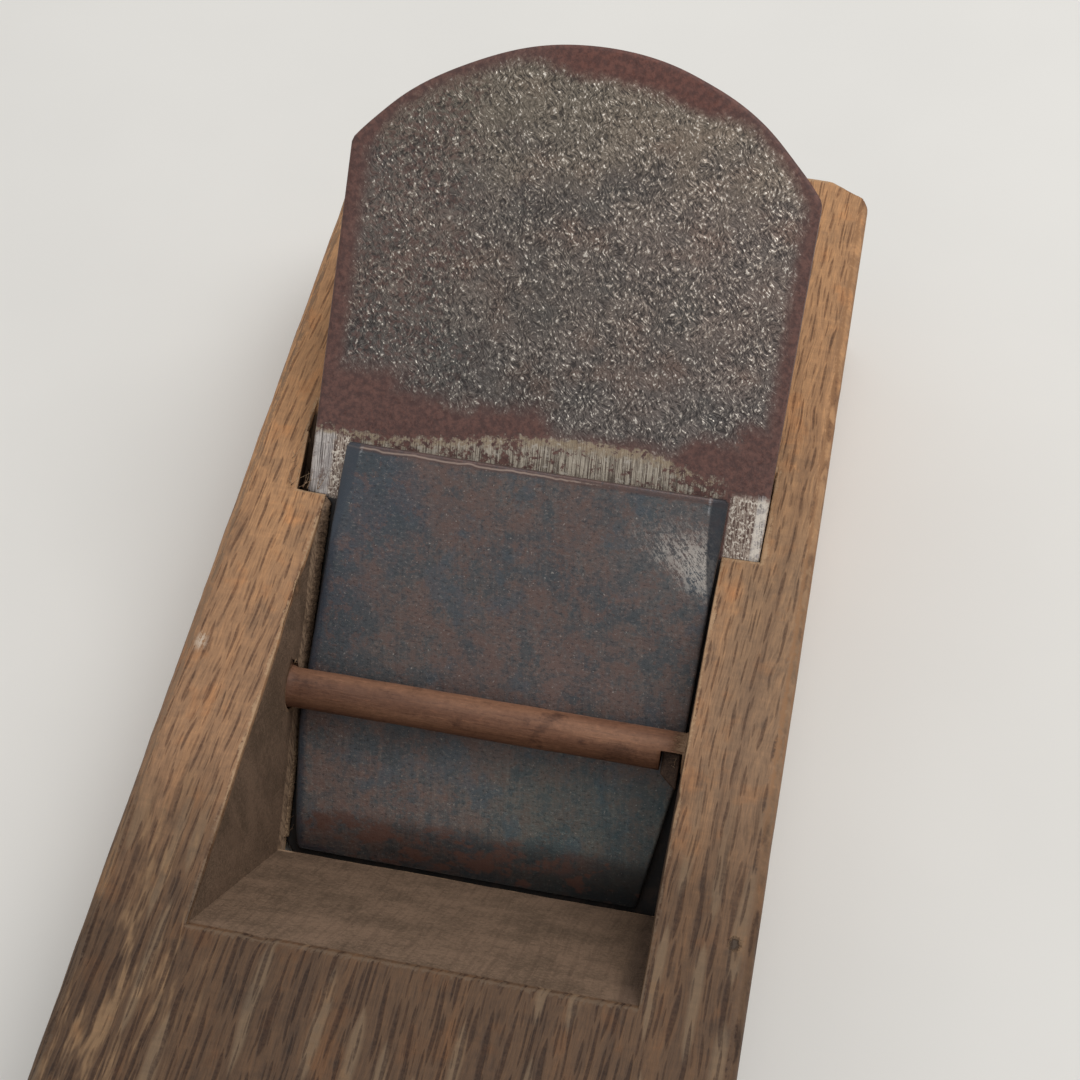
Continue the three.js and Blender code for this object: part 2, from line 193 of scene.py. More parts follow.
class Finish:
    """A material under construction. Its patterns are laid out in millimetres in the piece's own frame,
    which is the body's unless a frame is given."""

    def __init__(self, name, own_frame=None):
        self.material = bpy.data.materials.new(name)
        self.material.use_nodes = True
        self.tree = self.material.node_tree
        self.shader = self.tree.nodes["Principled BSDF"]
        coordinates = self.node("TexCoord", output="Object")
        scaled = {"Vector": coordinates, "Scale": 1 / MM}
        self.place = self.node("VectorMath", {"operation": "SCALE"}, scaled)
        if own_frame is not None:
            origin = own_frame.translation / MM
            tilt = own_frame.to_euler().x
            self.place = self.moved(self.place, *(-origin))
            turn = {"Vector": self.place, "Angle": -tilt}
            self.place = self.node("VectorRotate", {"rotation_type": "X_AXIS"}, turn)
        self.axes = self.parts(self.place)

    def node(self, kind, settings=None, sockets=(), output=0):
        """Any node: its settings first, then the values or links of its sockets."""
        made = self.tree.nodes.new("ShaderNode" + kind)
        for key, value in (settings or {}).items():
            setattr(made, key, value)
        named = sockets.items() if isinstance(sockets, dict) else enumerate(sockets)
        for key, value in named:
            if isinstance(value, Wire):
                self.tree.links.new(value.socket, made.inputs[key])
            else:
                made.inputs[key].default_value = value
        return Wire(self, made.outputs[output])

    def parts(self, place):
        """A place's distances along X, Y and Z."""
        return [self.node("SeparateXYZ", sockets=[place], output=i) for i in range(3)]

    def length(self, place):
        return self.node("VectorMath", {"operation": "LENGTH"}, [place], "Value")

    def stretched(self, place, size):
        """The place in units of a feature's size along each axis."""
        return self.node("VectorMath", {"operation": "MULTIPLY"}, [place, [1 / s for s in size]])

    def moved(self, place, x=0.0, y=0.0, z=0.0):
        shift = self.node("CombineXYZ", sockets=[x, y, z])
        return self.node("VectorMath", {"operation": "ADD"}, [place, shift])

    def turned(self, place, angle):
        """The place turned about Z."""
        return self.node("VectorRotate", {"rotation_type": "Z_AXIS"}, {"Vector": place, "Angle": angle})

    def cloud(self, size, detail=3, roughness=0.6, place=None, turn=0, **shift):
        """Soft noise from 0 to 1 with features of that size, at a place that can be turned or shifted."""
        place = place or self.place
        if turn:
            place = self.turned(place, math.radians(turn))
        if shift:
            place = self.moved(place, **shift)
        spread = self.stretched(place, size)
        sockets = {"Vector": spread, "Scale": 1, "Detail": detail, "Roughness": roughness}
        return self.node("TexNoise", sockets=sockets)

    def random(self, x, y):
        """Three random numbers from 0 to 1 for a pair of whole numbers."""
        pair = self.node("CombineXYZ", sockets=[x, y, 0.5])
        colour = self.node("TexWhiteNoise", sockets=[pair], output="Color")
        return [self.node("SeparateColor", sockets=[colour], output=i) for i in range(3)]

    def spindles(self, place, across, along, width, share, soft):
        """Thin marks pointed at both ends, in broken rows along Y. That share of the places has one."""
        x, y, _ = self.parts(place)
        column = math.floor(x / across)
        run = y / along + self.random(column, 0.5)[0] * 5
        row = math.floor(run)
        chance, side, length = self.random(column, row)
        beside = (x / across - column - 0.5 + (side - 0.5) * 0.5) * across
        ahead = (run - row - 0.5) / (0.27 + length * 0.2)
        taper = ahead * ahead
        half = (1 - taper * taper) * (width / 2)
        return step(abs(beside) - half, soft, -soft) * step(chance, share, share - 0.01)

    def spot(self, middle, size, ragged, angle=0.0, soft=0.4):
        """A ragged patch around a place."""
        apart = self.turned(self.moved(self.place, *(-m for m in middle)), angle)
        reach = self.length(self.stretched(apart, size))
        return step(reach + (ragged - 0.5) * 1.4, 1.0, 1.0 - soft)

    def attribute(self, name):
        return self.node("Attribute", {"attribute_name": name}, output="Fac")

    def done(self, colour, rough, height=None, **others):
        """Sets the shader's sockets and gives the material back. The surface's height is in millimetres."""
        if height is not None:
            bump = {"Strength": 1, "Distance": MM, "Height": height}
            others["Normal"] = self.node("Bump", sockets=bump)
        for name, value in {"Base_Color": colour, "Roughness": rough, **others}.items():
            key = name.replace("_", " ")
            if isinstance(value, Wire):
                self.tree.links.new(value.socket, self.shader.inputs[key])
            else:
                self.shader.inputs[key].default_value = value
        return self.material


def most(*masks):
    """The largest of several masks at each place."""
    top = masks[0]
    for mask in masks[1:]:
        top = top.math("MAXIMUM", top, mask)
    return top


def step(value, low, high):
    """A soft step that is 0 at low and 1 at high, whichever of them is larger."""
    return value.finish.node("MapRange", {"interpolation_type": "SMOOTHSTEP"}, [value, low, high, 0.0, 1.0])


def within(value, low, high, soft):
    """1 between low and high, with soft ends."""
    return step(value, low - soft, low + soft) * step(value, high + soft, high - soft)


def mix(mask, first, second, way="MIX"):
    """A colour that goes from the first to the second with the mask."""
    first, second = ((*c, 1.0) if isinstance(c, tuple) else c for c in (first, second))
    settings = {"data_type": "RGBA", "blend_type": way}
    return mask.finish.node("Mix", settings, {0: mask, 6: first, 7: second}, output=2)


def tint(mask, colour, factor):
    """A colour that is multiplied by another where the mask is."""
    return mix(mask, colour, factor, "MULTIPLY")


# Finishes

GRAIN_DRIFT = math.radians(2.5)
OAK_FRONT = (0.094, 0.0525, 0.0285)
OAK_MIDDLE = (0.292, 0.163, 0.088)
OAK_REAR = (0.415, 0.224, 0.108)


def planed_oak():
    """Bare oak on its flat-sawn face: dark rays in rows along the grain, darkened towards the front."""
    wood = Finish("planed_oak")
    x, y, z = wood.axes
    edge = wood.attribute("edge")
    apart = abs(x)
    inside = within(y, -12, 110, 0.5) * step(z, 35.9, 35.3) * step(z, 0.7, 1)
    throat = within(x, -30.6, 30.6, 0.3) * inside
    drift = wood.cloud((11, 55, 40), 3, 0.55)
    tremble = wood.cloud((2.5, 4.5, 9), 2, 0.5)
    down = (z - 36.5) * (1 - throat) * 0.8
    sway = (drift - 0.5) * 5 + (tremble - 0.5) * 0.25
    grain = wood.moved(wood.turned(wood.place, GRAIN_DRIFT), x=sway + down)
    dust = wood.cloud((0.6, 0.6, 0.5), 3, 0.7)

    smudge = wood.cloud((12, 16, 20), 4, 0.65)
    # Darker towards the front and on its left: partly the oak's own colour, partly a painted shadow lying
    # over the front.
    rearward = y - x * 0.15 + (smudge - 0.5) * 34
    sole = step(z, 0.9, 0.3)
    front = step(rearward, 27, -6) * (1 - sole * 0.75)
    light = mix(front, OAK_MIDDLE, OAK_FRONT)
    light = mix(step(rearward, 26, 90), light, OAK_REAR)
    light = tint(front * step(x, -44, 44), light, (1.16, 1.16, 1.16))
    grey = step(x, 27, 36) * step(rearward, 90, 55) * (1 - front)
    light = tint(grey, light, (0.8, 0.86, 0.92))
    bands = wood.cloud((2.6, 120, 60), place=grain)
    light = tint(step(bands, 0.5, 0.7) * 0.55, light, (1.32, 1.24, 1.12))
    light = tint(step(bands, 0.5, 0.3) * 0.65, light, (0.66, 0.65, 0.68))
    fibres = wood.cloud((0.28, 3.6, 4), 3, 0.7, place=grain)
    light = tint(step(fibres, 0.5, 0.66) * 0.5, light, (1.42, 1.38, 1.3))
    light = tint(step(fibres, 0.5, 0.34) * 0.55, light, (0.58, 0.56, 0.56))

    tan = wood.spindles(wood.moved(grain, x=1.9, y=7), 4.6, 22, 1.6, 0.55, 0.35) * front
    light = mix(tan * 0.5, light, (0.225, 0.155, 0.094))
    streaks = wood.cloud((1.9, 13, 30), place=grain, x=33)
    rubbed = step(x + (smudge - 0.5) * 26, -22, -38) * front * step(streaks, 0.5, 0.64)
    light = mix(rubbed * 0.65, light, (0.3, 0.183, 0.095))
    short_rays = wood.spindles(grain, 2, 8, 0.36, 0.95, 0.08)
    small_rays = wood.spindles(wood.moved(grain, x=1.1, y=3), 1.5, 4.4, 0.24, 0.75, 0.07)
    long_rays = wood.spindles(wood.moved(grain, x=0.7, y=5), 2.5, 15, 0.6, 0.9, 0.1) * front
    ray = most(short_rays * 0.9, small_rays * 0.65, long_rays) * (0.75 + (dust - 0.5) * 1.2)
    ray = ray * (1 - throat * 0.65)
    colour = tint(ray, light, (0.31, 0.26, 0.27))

    grime = step(wood.cloud((5, 7, 7), 4, 0.7), 0.52, 0.68)
    colour = tint(grime * 0.55, colour, (0.62, 0.66, 0.74))
    blush = step(wood.cloud((5, 7, 7), x=70), 0.54, 0.68)
    colour = tint(blush * 0.6, colour, (1.2, 1.03, 0.86))
    chatter = wood.cloud((6, 0.8, 5), z=30)
    colour = tint(step(chatter, 0.5, 0.68) * 0.35, colour, (1.26, 1.23, 1.2))
    colour = tint(step(chatter, 0.46, 0.3) * 0.3, colour, (0.76, 0.76, 0.78))
    nearer = wood.cloud((9, 5, 9))
    inner = mix(step(dust * 0.5 + nearer * 0.5, 0.36, 0.62), (0.112, 0.074, 0.048), (0.205, 0.133, 0.088))
    inner = tint(ray, inner, (0.45, 0.42, 0.42))
    out = z * math.cos(PITCH) - (y - MOUTH_Y) * math.sin(PITCH)
    sawn = wood.cloud((2, 0.5, 2.4), 3, 0.7)
    low_cheek = step(x, -26, -27) * step(out + (tremble - 0.5) * 1.5, 5.4, 4.6)
    inner = mix(low_cheek, inner, mix(step(sawn, 0.36, 0.62), (0.17, 0.11, 0.072), (0.4, 0.27, 0.175)))
    frayed = within(out + (dust - 0.5) * 1.8 + (sawn - 0.5) * 1.6, -1.5, 1, 0.3)
    inner = mix(step(out, -4, -6) * 0.45, inner, (0.11, 0.07, 0.045))
    inner = mix(frayed * 0.9, inner, (0.52, 0.36, 0.21))
    # Painted shadow: the right rail's shadow on the ramp, a dark band at the foot of the right cheek.
    ramp_corner_shadow = step(x + (dust - 0.5) * 2.4, 26.2, 28.4)
    inner = tint(ramp_corner_shadow * 0.6, inner, (0.5, 0.5, 0.54))
    colour = mix(throat, colour, inner)
    # Painted shade: the grooves that hold the blade's sides are painted near black.
    slot_shade = within(apart, 30.9, 39, 0.1) * within(out, -12.5, 0.3, 0.2) * inside
    colour = mix(slot_shade * 0.85, colour, (0.02, 0.014, 0.011))

    from_heart = wood.length(wood.stretched(wood.moved(wood.place, x=12, z=80), (1, 1e6, 1)))
    year = wood.node("CombineXYZ", sockets=[from_heart + (dust - 0.5) * 0.5, 0, 0])
    rings = wood.cloud((1.7, 1, 1), place=year)
    end_grain = mix(step(rings, 0.36, 0.64), (0.092, 0.056, 0.034), (0.185, 0.118, 0.07))
    end_rays = wood.cloud((0.5, 9, 7), 3, 0.65)
    end_grain = tint(step(end_rays, 0.5, 0.36) * 0.6, end_grain, (0.52, 0.5, 0.5))
    end_grain = tint(step(end_rays, 0.56, 0.7) * 0.5, end_grain, (1.35, 1.3, 1.22))
    colour = mix(step(abs(y), 144.1, 144.6), colour, end_grain)

    torn = (dust - 0.5) * 1.6 + (fibres - 0.5) * 1.4 + (tremble - 0.5) * 1.2
    worn = step(edge + torn, 0.62, 0.1)
    pale = mix(front, (0.44, 0.285, 0.165), (0.165, 0.115, 0.076))
    rail = step(apart, 38, 40)
    outer = mix(step(x, -5, 5), (0.205, 0.13, 0.08), (0.265, 0.135, 0.062))
    pale = mix(rail, pale, mix(front * 0.7, outer, (0.085, 0.058, 0.04)))
    colour = mix(worn * (0.75 - front * 0.25), colour, pale)

    ding = wood.spot((-41.2, 33.8, 36), (1.3, 2.2, 3), dust, soft=0.8)
    colour = mix(ding * step(fibres + (dust - 0.5), 0.38, 0.56) * 0.85, colour, (0.52, 0.43, 0.34))
    nick = wood.spot((41, 2.1, 36), (1.1, 1.2, 3), dust, soft=0.7)
    colour = mix(nick * 0.8, colour, (0.04, 0.027, 0.02))
    knot = wood.spot((33, 57.4, 36), (2.2, 3, 6), smudge, soft=0.9)
    colour = tint(knot * 0.3, colour, (1.35, 0.96, 0.62))

    rough = 0.62 + (fibres - 0.5) * 0.2 + ray * 0.06
    height = (fibres - 0.5) * 0.07 - ray * 0.05 + (dust - 0.5) * (0.05 + throat * 0.1)
    height = height + ding * 0.06 - nick * 0.3
    return wood.done(colour, rough, height, Specular_IOR_Level=0.25)


FORGED = ((0.092, 0.078, 0.069), (0.15, 0.121, 0.103))
RUST = ((0.076, 0.037, 0.032), (0.152, 0.071, 0.056))


def forged_iron():
    """Coarse forge scale, rust along the rim, a scraped band above the chip breaker and a ground bevel."""
    iron = Finish("forged_iron", BLADE_FRAME)
    x, y, z = iron.axes
    rim = iron.attribute("rim")
    mottle = iron.cloud((9, 9, 9))
    tones = iron.cloud((14, 11, 9), x=40)
    lumps = iron.cloud((1.5, 1.9, 1.5), 2)
    swirl = iron.cloud((3.6, 3.6, 3.6), 2, 0.5, z=25)
    bent = iron.moved(iron.place, x=(swirl - 0.5) * 3.2, y=(lumps - 0.5) * 0.9)
    strokes = iron.cloud((0.38, 1.15, 0.8), 2.5, 0.62, place=bent, turn=-34)
    others = iron.cloud((0.34, 0.8, 0.7), 2.5, 0.62, place=bent, turn=24)
    tips = iron.cloud((0.3, 0.42, 0.5), 1, 0.5)
    calm = step(iron.cloud((7, 5, 5), y=15), 0.47, 0.64)

    scale = mix(step(mottle, 0.32, 0.68), *FORGED)
    scale = mix(step(tones, 0.5, 0.7) * 0.7, scale, (0.175, 0.112, 0.084))
    scale = mix(step(tones, 0.48, 0.3) * 0.5, scale, (0.084, 0.084, 0.076))
    # Painted sheen: the top of the head is painted lighter and warmer.
    upper = step(y + (mottle - 0.5) * 30, 104, 122)
    scale = mix(upper * 0.6, scale, (0.19, 0.158, 0.114))
    density = (lumps - 0.5) * 0.3 + (x + 10) * 0.0007
    grit = strokes * 0.55 + others * 0.45 + density * 0.4
    # Painted shade darkens the hollows of the scale, and painted glints lighten its raised strokes.
    pit_shade = most(step(grit, 0.49, 0.42) * 0.9, step(others, 0.41, 0.35) * 0.7) * (1 - calm * 0.45)
    glints = step(grit + (tips - 0.5) * 0.25, 0.535, 0.595) * (1 - calm * 0.55)
    scale = mix(pit_shade * 0.85, scale, (0.018, 0.014, 0.013))
    scale = mix(glints * 0.68, scale, (0.4, 0.345, 0.285))
    scale = tint(step(x, -12, 28), scale, (1.22, 1.17, 1.17))
    scale = tint(step(y, 92, 78), scale, (0.86, 0.9, 0.94))
    # Painted highlights on the brightest tips of the strokes.
    scale = mix(step(grit + (tips - 0.5) * 0.5, 0.62, 0.68) * 0.8, scale, (0.78, 0.72, 0.64))

    speck = iron.cloud((1, 1, 1), 4, 0.75)
    crown = step(y, 116, 123) * within(x, -7, 20, 5)
    rust = mix(step(speck, 0.35, 0.68), *RUST)
    rust = tint(crown * 0.7, rust, (1.05, 0.8, 0.72))
    width = 1.3 + crown * 3 + step(x, -29, -33) * 1.2 + step(x, 29, 34) * 0.6
    ragged = (speck - 0.5) * 3.2 + (lumps - 0.5) * 1.6
    border = step(rim + ragged - width, 2, -0.9)
    low_left = step(x + ragged, -20, -25) * step(y + ragged, 80.5, 75.5)
    low_right = step(x + ragged, 27, 30) * step(y + ragged, 79.5, 76)
    dip = within(x, 0, 21, 2) * 2.2
    low = step(y + ragged * 1.3 + (mottle - 0.5) * 5 + dip, 76.6, 72.6)
    purple = step(x + (mottle - 0.5) * 40, -8, -24) * step(speck, 0.46, 0.58) * 0.45
    rusty = most(border, low_left, low_right, low, purple)
    colour = mix(rusty, scale, rust)

    scratches = iron.cloud((0.14, 7, 1), 2, 0.7, turn=-3)
    scraped = mix(step(scratches, 0.42, 0.58), (0.135, 0.108, 0.086), (0.52, 0.46, 0.37))
    blots = iron.cloud((1.5, 1.5, 1), 4, 0.75)
    band_top = 67.9 + step(x, -26, 4) * 3.6 - step(x, 16, 25) * 2.4
    band = step(y + ragged * 1.1 - band_top, 0.4, -0.4) * step(x + ragged, 29, 26)
    broken = step(x, 17, 24) * 0.1 + step(x + ragged * 2, 3, -5) * 0.075
    band = band * step(blots - broken, 0.36, 0.46)
    fringe = band * step(y + ragged - band_top, -1.9, -0.6)
    scraped = mix(fringe * 0.65, scraped, (0.34, 0.25, 0.155))
    scraped = mix(step(blots, 0.55, 0.68) * 0.6, scraped, (0.6, 0.55, 0.48))
    sides = step(abs(x), 28.9, 29.4)
    strips = step(y + ragged * 0.7, 67.6, 66.6) * sides
    stain = step(iron.cloud((1.4, 2.6, 1), 4, 0.7), 0.5, 0.62)
    silver = mix(step(scratches, 0.36, 0.52), (0.08, 0.066, 0.06), (0.6, 0.55, 0.52))
    silver = mix(step(blots, 0.52, 0.44) * 0.45, silver, (0.34, 0.31, 0.3))
    silver = mix(stain * step(speck, 0.42, 0.58) * 0.7, silver, (0.12, 0.07, 0.054))
    silver = mix(step(x, 0, 1) * step(speck, 0.4, 0.54) * 0.85, silver, (0.84, 0.77, 0.67))
    rubbed = step(scratches * 0.6 + strokes * 0.4, 0.42, 0.58)
    scored = mix(rubbed, (0.11, 0.066, 0.052), (0.5, 0.41, 0.34))
    scored = mix(step(tips * 0.4 + speck * 0.6, 0.51, 0.58), scored, (0.8, 0.72, 0.62))
    bright = most(step(x + ragged * 0.5, -31.2, -31.8), step(x, 32.9, 33.3))
    silver = mix(bright, scored, silver)
    colour = mix(band * 0.92, colour, scraped)
    colour = mix(strips * 0.9, colour, silver)

    ground = step(z + (y - BLADE_LOW) * math.tan(BEVEL_ANGLE), 0.35, 0.15) * step(z, -1.5, -1.9)
    lines = iron.cloud((0.16, 9, 9), 3, 0.7)
    colour = mix(ground, colour, mix(step(lines, 0.3, 0.7), (0.24, 0.235, 0.23), (0.4, 0.395, 0.385)))

    smooth = most(rusty, strips, ground)
    bare = most(band, strips, ground)
    height = ((strokes - 0.5) * 0.26 + (others - 0.5) * 0.2 + (lumps - 0.5) * 0.2) * (1 - smooth * 0.88)
    height = height + (speck - 0.5) * 0.05 + (scratches - 0.5) * bare * 0.03
    rough = 0.5 - glints * 0.14 + rusty * 0.16 - bare * 0.12
    metal = 0.3 + glints * 0.35 + bare * 0.4 - rusty * 0.2
    return iron.done(colour, rough, height, Metallic=metal)


def blued_plate():
    """Grey-brown plate with patches of old bluing and rust, scuffed bright near one ear."""
    plate = Finish("blued_plate", CHIP_FRAME)
    x, y, _ = plate.axes
    rim = plate.attribute("rim")
    broad = plate.cloud((15, 12, 10))
    other = plate.cloud((8, 9, 9), 4, 0.65, x=60)
    fine = plate.cloud((0.75, 0.48, 0.6), 4, 0.8)
    flecks = plate.cloud((2.6, 2.6, 2.6), 6, 0.8, z=12)
    patchy = plate.cloud((7.5, 8.5, 8), 6, 0.72, x=-31)
    hair = plate.cloud((0.18, 4, 1), 2, turn=-42)
    drag = plate.cloud((0.5, 11, 2), turn=-8)

    colour = mix(step(broad, 0.36, 0.64), (0.09, 0.082, 0.086), (0.136, 0.11, 0.101))
    colour = mix(step(drag, 0.5, 0.66) * 0.4, colour, (0.175, 0.15, 0.138))
    colour = mix(step(drag, 0.46, 0.32) * 0.4, colour, (0.062, 0.056, 0.06))
    left = step(x + (broad - 0.5) * 26, -14, -24) * step(y, 22, 40)
    right = step(x + (broad - 0.5) * 16, 8, 18) * step(y + (other - 0.5) * 14, 42, 52)
    colour = mix(left * 0.75, colour, (0.062, 0.079, 0.102))
    colour = mix(right * 0.6, colour, (0.1, 0.116, 0.122))
    shaded_low_part = step(y, 25, 15)
    brown = 1 - most(left * 0.75, right * 0.6, shaded_low_part * step(x, -14, 4) * 0.7)
    blush = step(other + (fine - 0.5) * 0.3, 0.52, 0.66) * brown
    colour = mix(blush * 0.7, colour, (0.142, 0.085, 0.07))
    colour = mix(step(patchy, 0.49, 0.53) * brown * 0.7, colour, (0.142, 0.099, 0.088))
    colour = mix(step(patchy, 0.47, 0.43) * 0.62, colour, (0.068, 0.08, 0.089))
    colour = mix(step(flecks, 0.52, 0.57) * 0.5, colour, (0.158, 0.094, 0.078))
    colour = mix(step(flecks, 0.48, 0.43) * 0.5, colour, (0.056, 0.07, 0.08))
    blue = step(plate.cloud((7, 8, 9), 4, 0.65, y=35), 0.54, 0.64)
    colour = mix(blue * 0.6, colour, (0.078, 0.094, 0.112))
    colour = mix(step(fine, 0.55, 0.66) * 0.45, colour, (0.265, 0.236, 0.215))
    colour = mix(step(fine, 0.45, 0.36) * 0.6, colour, (0.03, 0.027, 0.03))
    # Painted light: the lower part, which the throat shades, is painted brighter and a little bluer on the
    # right.
    colour = tint(shaded_low_part, colour, (1.46, 1.46, 1.42))
    colour = tint(shaded_low_part * step(x, -8, 12), colour, (0.7, 0.9, 0.92))
    # Painted shadow: the right cheek's shadow darkens the lower right corner.
    corner = step(x * 0.6 - y + (fine - 0.5) * 5, 3, 14)
    colour = mix(corner * 0.6, colour, (0.045, 0.048, 0.048))

    near = plate.spot(SCUFF_PLACE, (6.2, 12.5, 40), other, SCUFF_ANGLE, 0.9)
    ferny = plate.cloud((0.45, 0.95, 1), 5, 0.85, turn=-35)
    scuff = near * step(ferny + hair * 0.3 + flecks * 0.3 + near * 0.12, 0.84, 0.93)
    colour = mix(scuff * 0.82, colour, (0.56, 0.51, 0.46))
    specks = step(plate.cloud((0.5, 0.5, 0.5), 2), 0.67, 0.74)
    colour = mix(specks * 0.6, colour, (0.42, 0.38, 0.34))
    wavy = y + (plate.cloud((5, 30, 30)) - 0.5) * 1.1
    rusted = step(wavy, CHIP_LENGTH - 1.3, CHIP_LENGTH - 0.8) * step(fine, 0.3, 0.5)
    colour = mix(rusted * 0.7, colour, (0.11, 0.06, 0.05))
    # Painted highlight: a thin light line along the top edge.
    edge_highlight = within(wavy, CHIP_LENGTH - 0.75, CHIP_LENGTH - 0.5, 0.1) * step(x + (fine - 0.5) * 24, 12, 4)
    colour = mix(edge_highlight * 0.8, colour, (0.4, 0.3, 0.25))
    patches = step(plate.cloud((5, 3, 5), 3, 0.7), 0.5, 0.6) * step(y, 8.5, 6.5)
    low = step(y + (other - 0.5) * 4, 8.6, 5.6) * (0.35 + 0.65 * step(x, -25, -10))
    colour = mix(low * 0.6, colour, (0.024, 0.022, 0.024))
    rusty_line = within(y + (other - 0.5) * 5, 3.6, 6.6, 0.7) * step(x, 22, 12)
    patches = most(patches, rusty_line * step(patchy, 0.45, 0.55))
    colour = mix(patches * 0.8, colour, (0.11, 0.048, 0.033))
    margin = step(rim + (fine - 0.5), 1.7, 0.5) * step(x, -20, -24) * step(y, 61, 58)
    colour = mix(margin * 0.75, colour, (0.03, 0.04, 0.058))

    middle = (y - CHIP_LENGTH / 2) * math.tan(CHIP_LEAN)
    from_side = CHIP_HALF - abs(x - middle)
    from_top = (CHIP_LENGTH - y) / (EAR_ALONG * 1.3)
    fold = 1 - from_side / EAR_ACROSS - from_top * from_top
    # Painted shade: the bent-down ears are painted darker, the right one near black.
    ear_shade = mix(step(x, -5, 5), (0.056, 0.068, 0.086), (0.02, 0.024, 0.032))
    colour = mix(step(fold + (fine - 0.5) * 0.15, -0.05, 0.12) * 0.8, colour, ear_shade)
    # Painted highlight: a light line along the top of each ear's fold.
    fold_highlight = within(fold, -0.16, -0.02, 0.07) * step(fine, 0.46, 0.6) * step(y, 59.5, 61.5)
    colour = mix(fold_highlight * 0.6, colour, (0.38, 0.39, 0.41))

    height = (fine - 0.5) * 0.07 + (hair - 0.5) * near * 0.03 + (drag - 0.5) * 0.03
    rough = 0.46 + blush * 0.14 - scuff * 0.1 + (fine - 0.5) * 0.2
    metal = 0.45 - blush * 0.25 + scuff * 0.3 - patches * 0.3
    return plate.done(colour, rough, height, Metallic=metal)


def ground_steel():
    """Hard steel: the face dark with old patina and painted deep shade, the bevel ground bright."""
    steel = Finish("ground_steel", BLADE_FRAME)
    _, y, z = steel.axes
    lines = steel.cloud((0.15, 9, 1), 3, 0.7)
    bloom = step(steel.cloud((3, 4, 6), 4, 0.7), 0.46, 0.66)
    colour = mix(step(lines, 0.3, 0.7), (0.36, 0.345, 0.33), (0.58, 0.57, 0.55))
    face = step(z + (y - BLADE_LOW) * math.tan(BEVEL_ANGLE), 0.15, 0.5)
    # Painted deep shade, together with old patina, makes the face near black.
    patina_and_shade = mix(bloom, (0.018, 0.017, 0.017), (0.04, 0.028, 0.023))
    patina_and_shade = mix(step(lines, 0.58, 0.78) * 0.3, patina_and_shade, (0.14, 0.13, 0.12))
    colour = mix(face, colour, patina_and_shade)
    rough = 0.3 + (lines - 0.5) * 0.2 + face * 0.18
    metal = 0.95 - face * 0.5
    return steel.done(colour, rough, (lines - 0.5) * 0.02, Metallic=metal)


def pin_wood():
    """Reddish dowel with the grain across the throat."""
    wood = Finish("pin_wood", SEAT_FRAME)
    x, _, _ = wood.axes
    fibres = wood.cloud((3.2, 0.28, 0.28), 4, 0.7)
    bands = wood.cloud((22, 2.2, 2.2), 2, 0.5)
    colour = mix(step(bands, 0.3, 0.7), (0.133, 0.06, 0.034), (0.205, 0.1, 0.057))
    colour = tint(step(x, -18, 14) * 0.5, colour, (1.35, 1.33, 1.28))
    colour = tint(step(fibres, 0.5, 0.25) * 0.6, colour, (0.45, 0.42, 0.42))
    colour = tint(step(fibres, 0.54, 0.76) * 0.5, colour, (1.7, 1.6, 1.5))
    stain = step(wood.cloud((5, 3, 3), 4, 0.7), 0.55, 0.7)
    colour = tint(stain * 0.7, colour, (0.4, 0.37, 0.4))
    dots = wood.cloud((0.9, 0.6, 0.6), 4, 0.75)
    colour = tint(step(dots, 0.48, 0.36) * 0.45, colour, (0.62, 0.58, 0.58))
    colour = tint(step(dots, 0.53, 0.66) * 0.45, colour, (1.45, 1.45, 1.45))
    scorched = wood.spot((8.5, 29.5, 9), (1.1, 4.5, 9), dots, math.radians(38), 0.9)
    rubbed = wood.spot((20.5, 28, 9), (3.6, 2, 9), dots, 0, 0.9)
    colour = tint(most(scorched, rubbed) * 0.6, colour, (0.42, 0.4, 0.42))
    torn = step(x + (fibres - 0.5) * 6, 27.5, 29.5)
    colour = mix(torn * 0.75, colour, (0.3, 0.19, 0.11))
    rough = 0.55 + (fibres - 0.5) * 0.3
    return wood.done(colour, rough, (fibres - 0.5) * 0.07 + torn * 0.1, Specular_IOR_Level=0.3)


def chock_wood():
    """Dark brown block, end grain up."""
    wood = Finish("chock_wood", SEAT_FRAME)
    fibres = wood.cloud((0.3, 0.35, 3), 3, 0.65)
    colour = mix(step(fibres, 0.3, 0.7), (0.045, 0.027, 0.019), (0.105, 0.064, 0.043))
    return wood.done(colour, 0.7, (fibres - 0.5) * 0.06, Specular_IOR_Level=0.3)


def torn_oak():
    """Pale torn fibres of the same oak."""
    wood = Finish("torn_oak", SEAT_FRAME)
    x, y, _ = wood.axes
    fibres = wood.cloud((0.5, 0.35, 0.5), 3, 0.7)
    patches = wood.cloud((2, 5, 2))
    sawn = mix(step(fibres, 0.35, 0.65), (0.08, 0.051, 0.034), (0.215, 0.14, 0.088))
    sawn = tint(step(patches, 0.56, 0.42) * 0.6, sawn, (0.62, 0.6, 0.6))
    torn = mix(step(fibres, 0.35, 0.65), (0.165, 0.103, 0.064), (0.46, 0.31, 0.19))
    fresh = most(step(x, -30.8, -31.2), step(y + (patches - 0.5) * 9, 25, 21), step(x, 0, 1))
    colour = mix(fresh, sawn, torn)
    return wood.done(colour, 0.75, (fibres - 0.5) * 0.12, Specular_IOR_Level=0.2)


# Shapes

RIM_ROWS = (0.12, 0.35, 0.65, 1.1)
RIM_CLEARANCE = 0.3
WALL_ROW = 1.2


def bumps(points, size, seed):
    """Soft noise from -1 to 1 at each point, with features of that size."""
    shift = Vector((17.3, 5.1, 9.7)) * seed
    return np.array([noise.noise(Vector(point) / size + shift) for point in points])


def uneven(points, seed, height, size):
    """Soft unevenness at each point, from 0 to twice that height."""
    return height * (1 + bumps(points, size, seed))


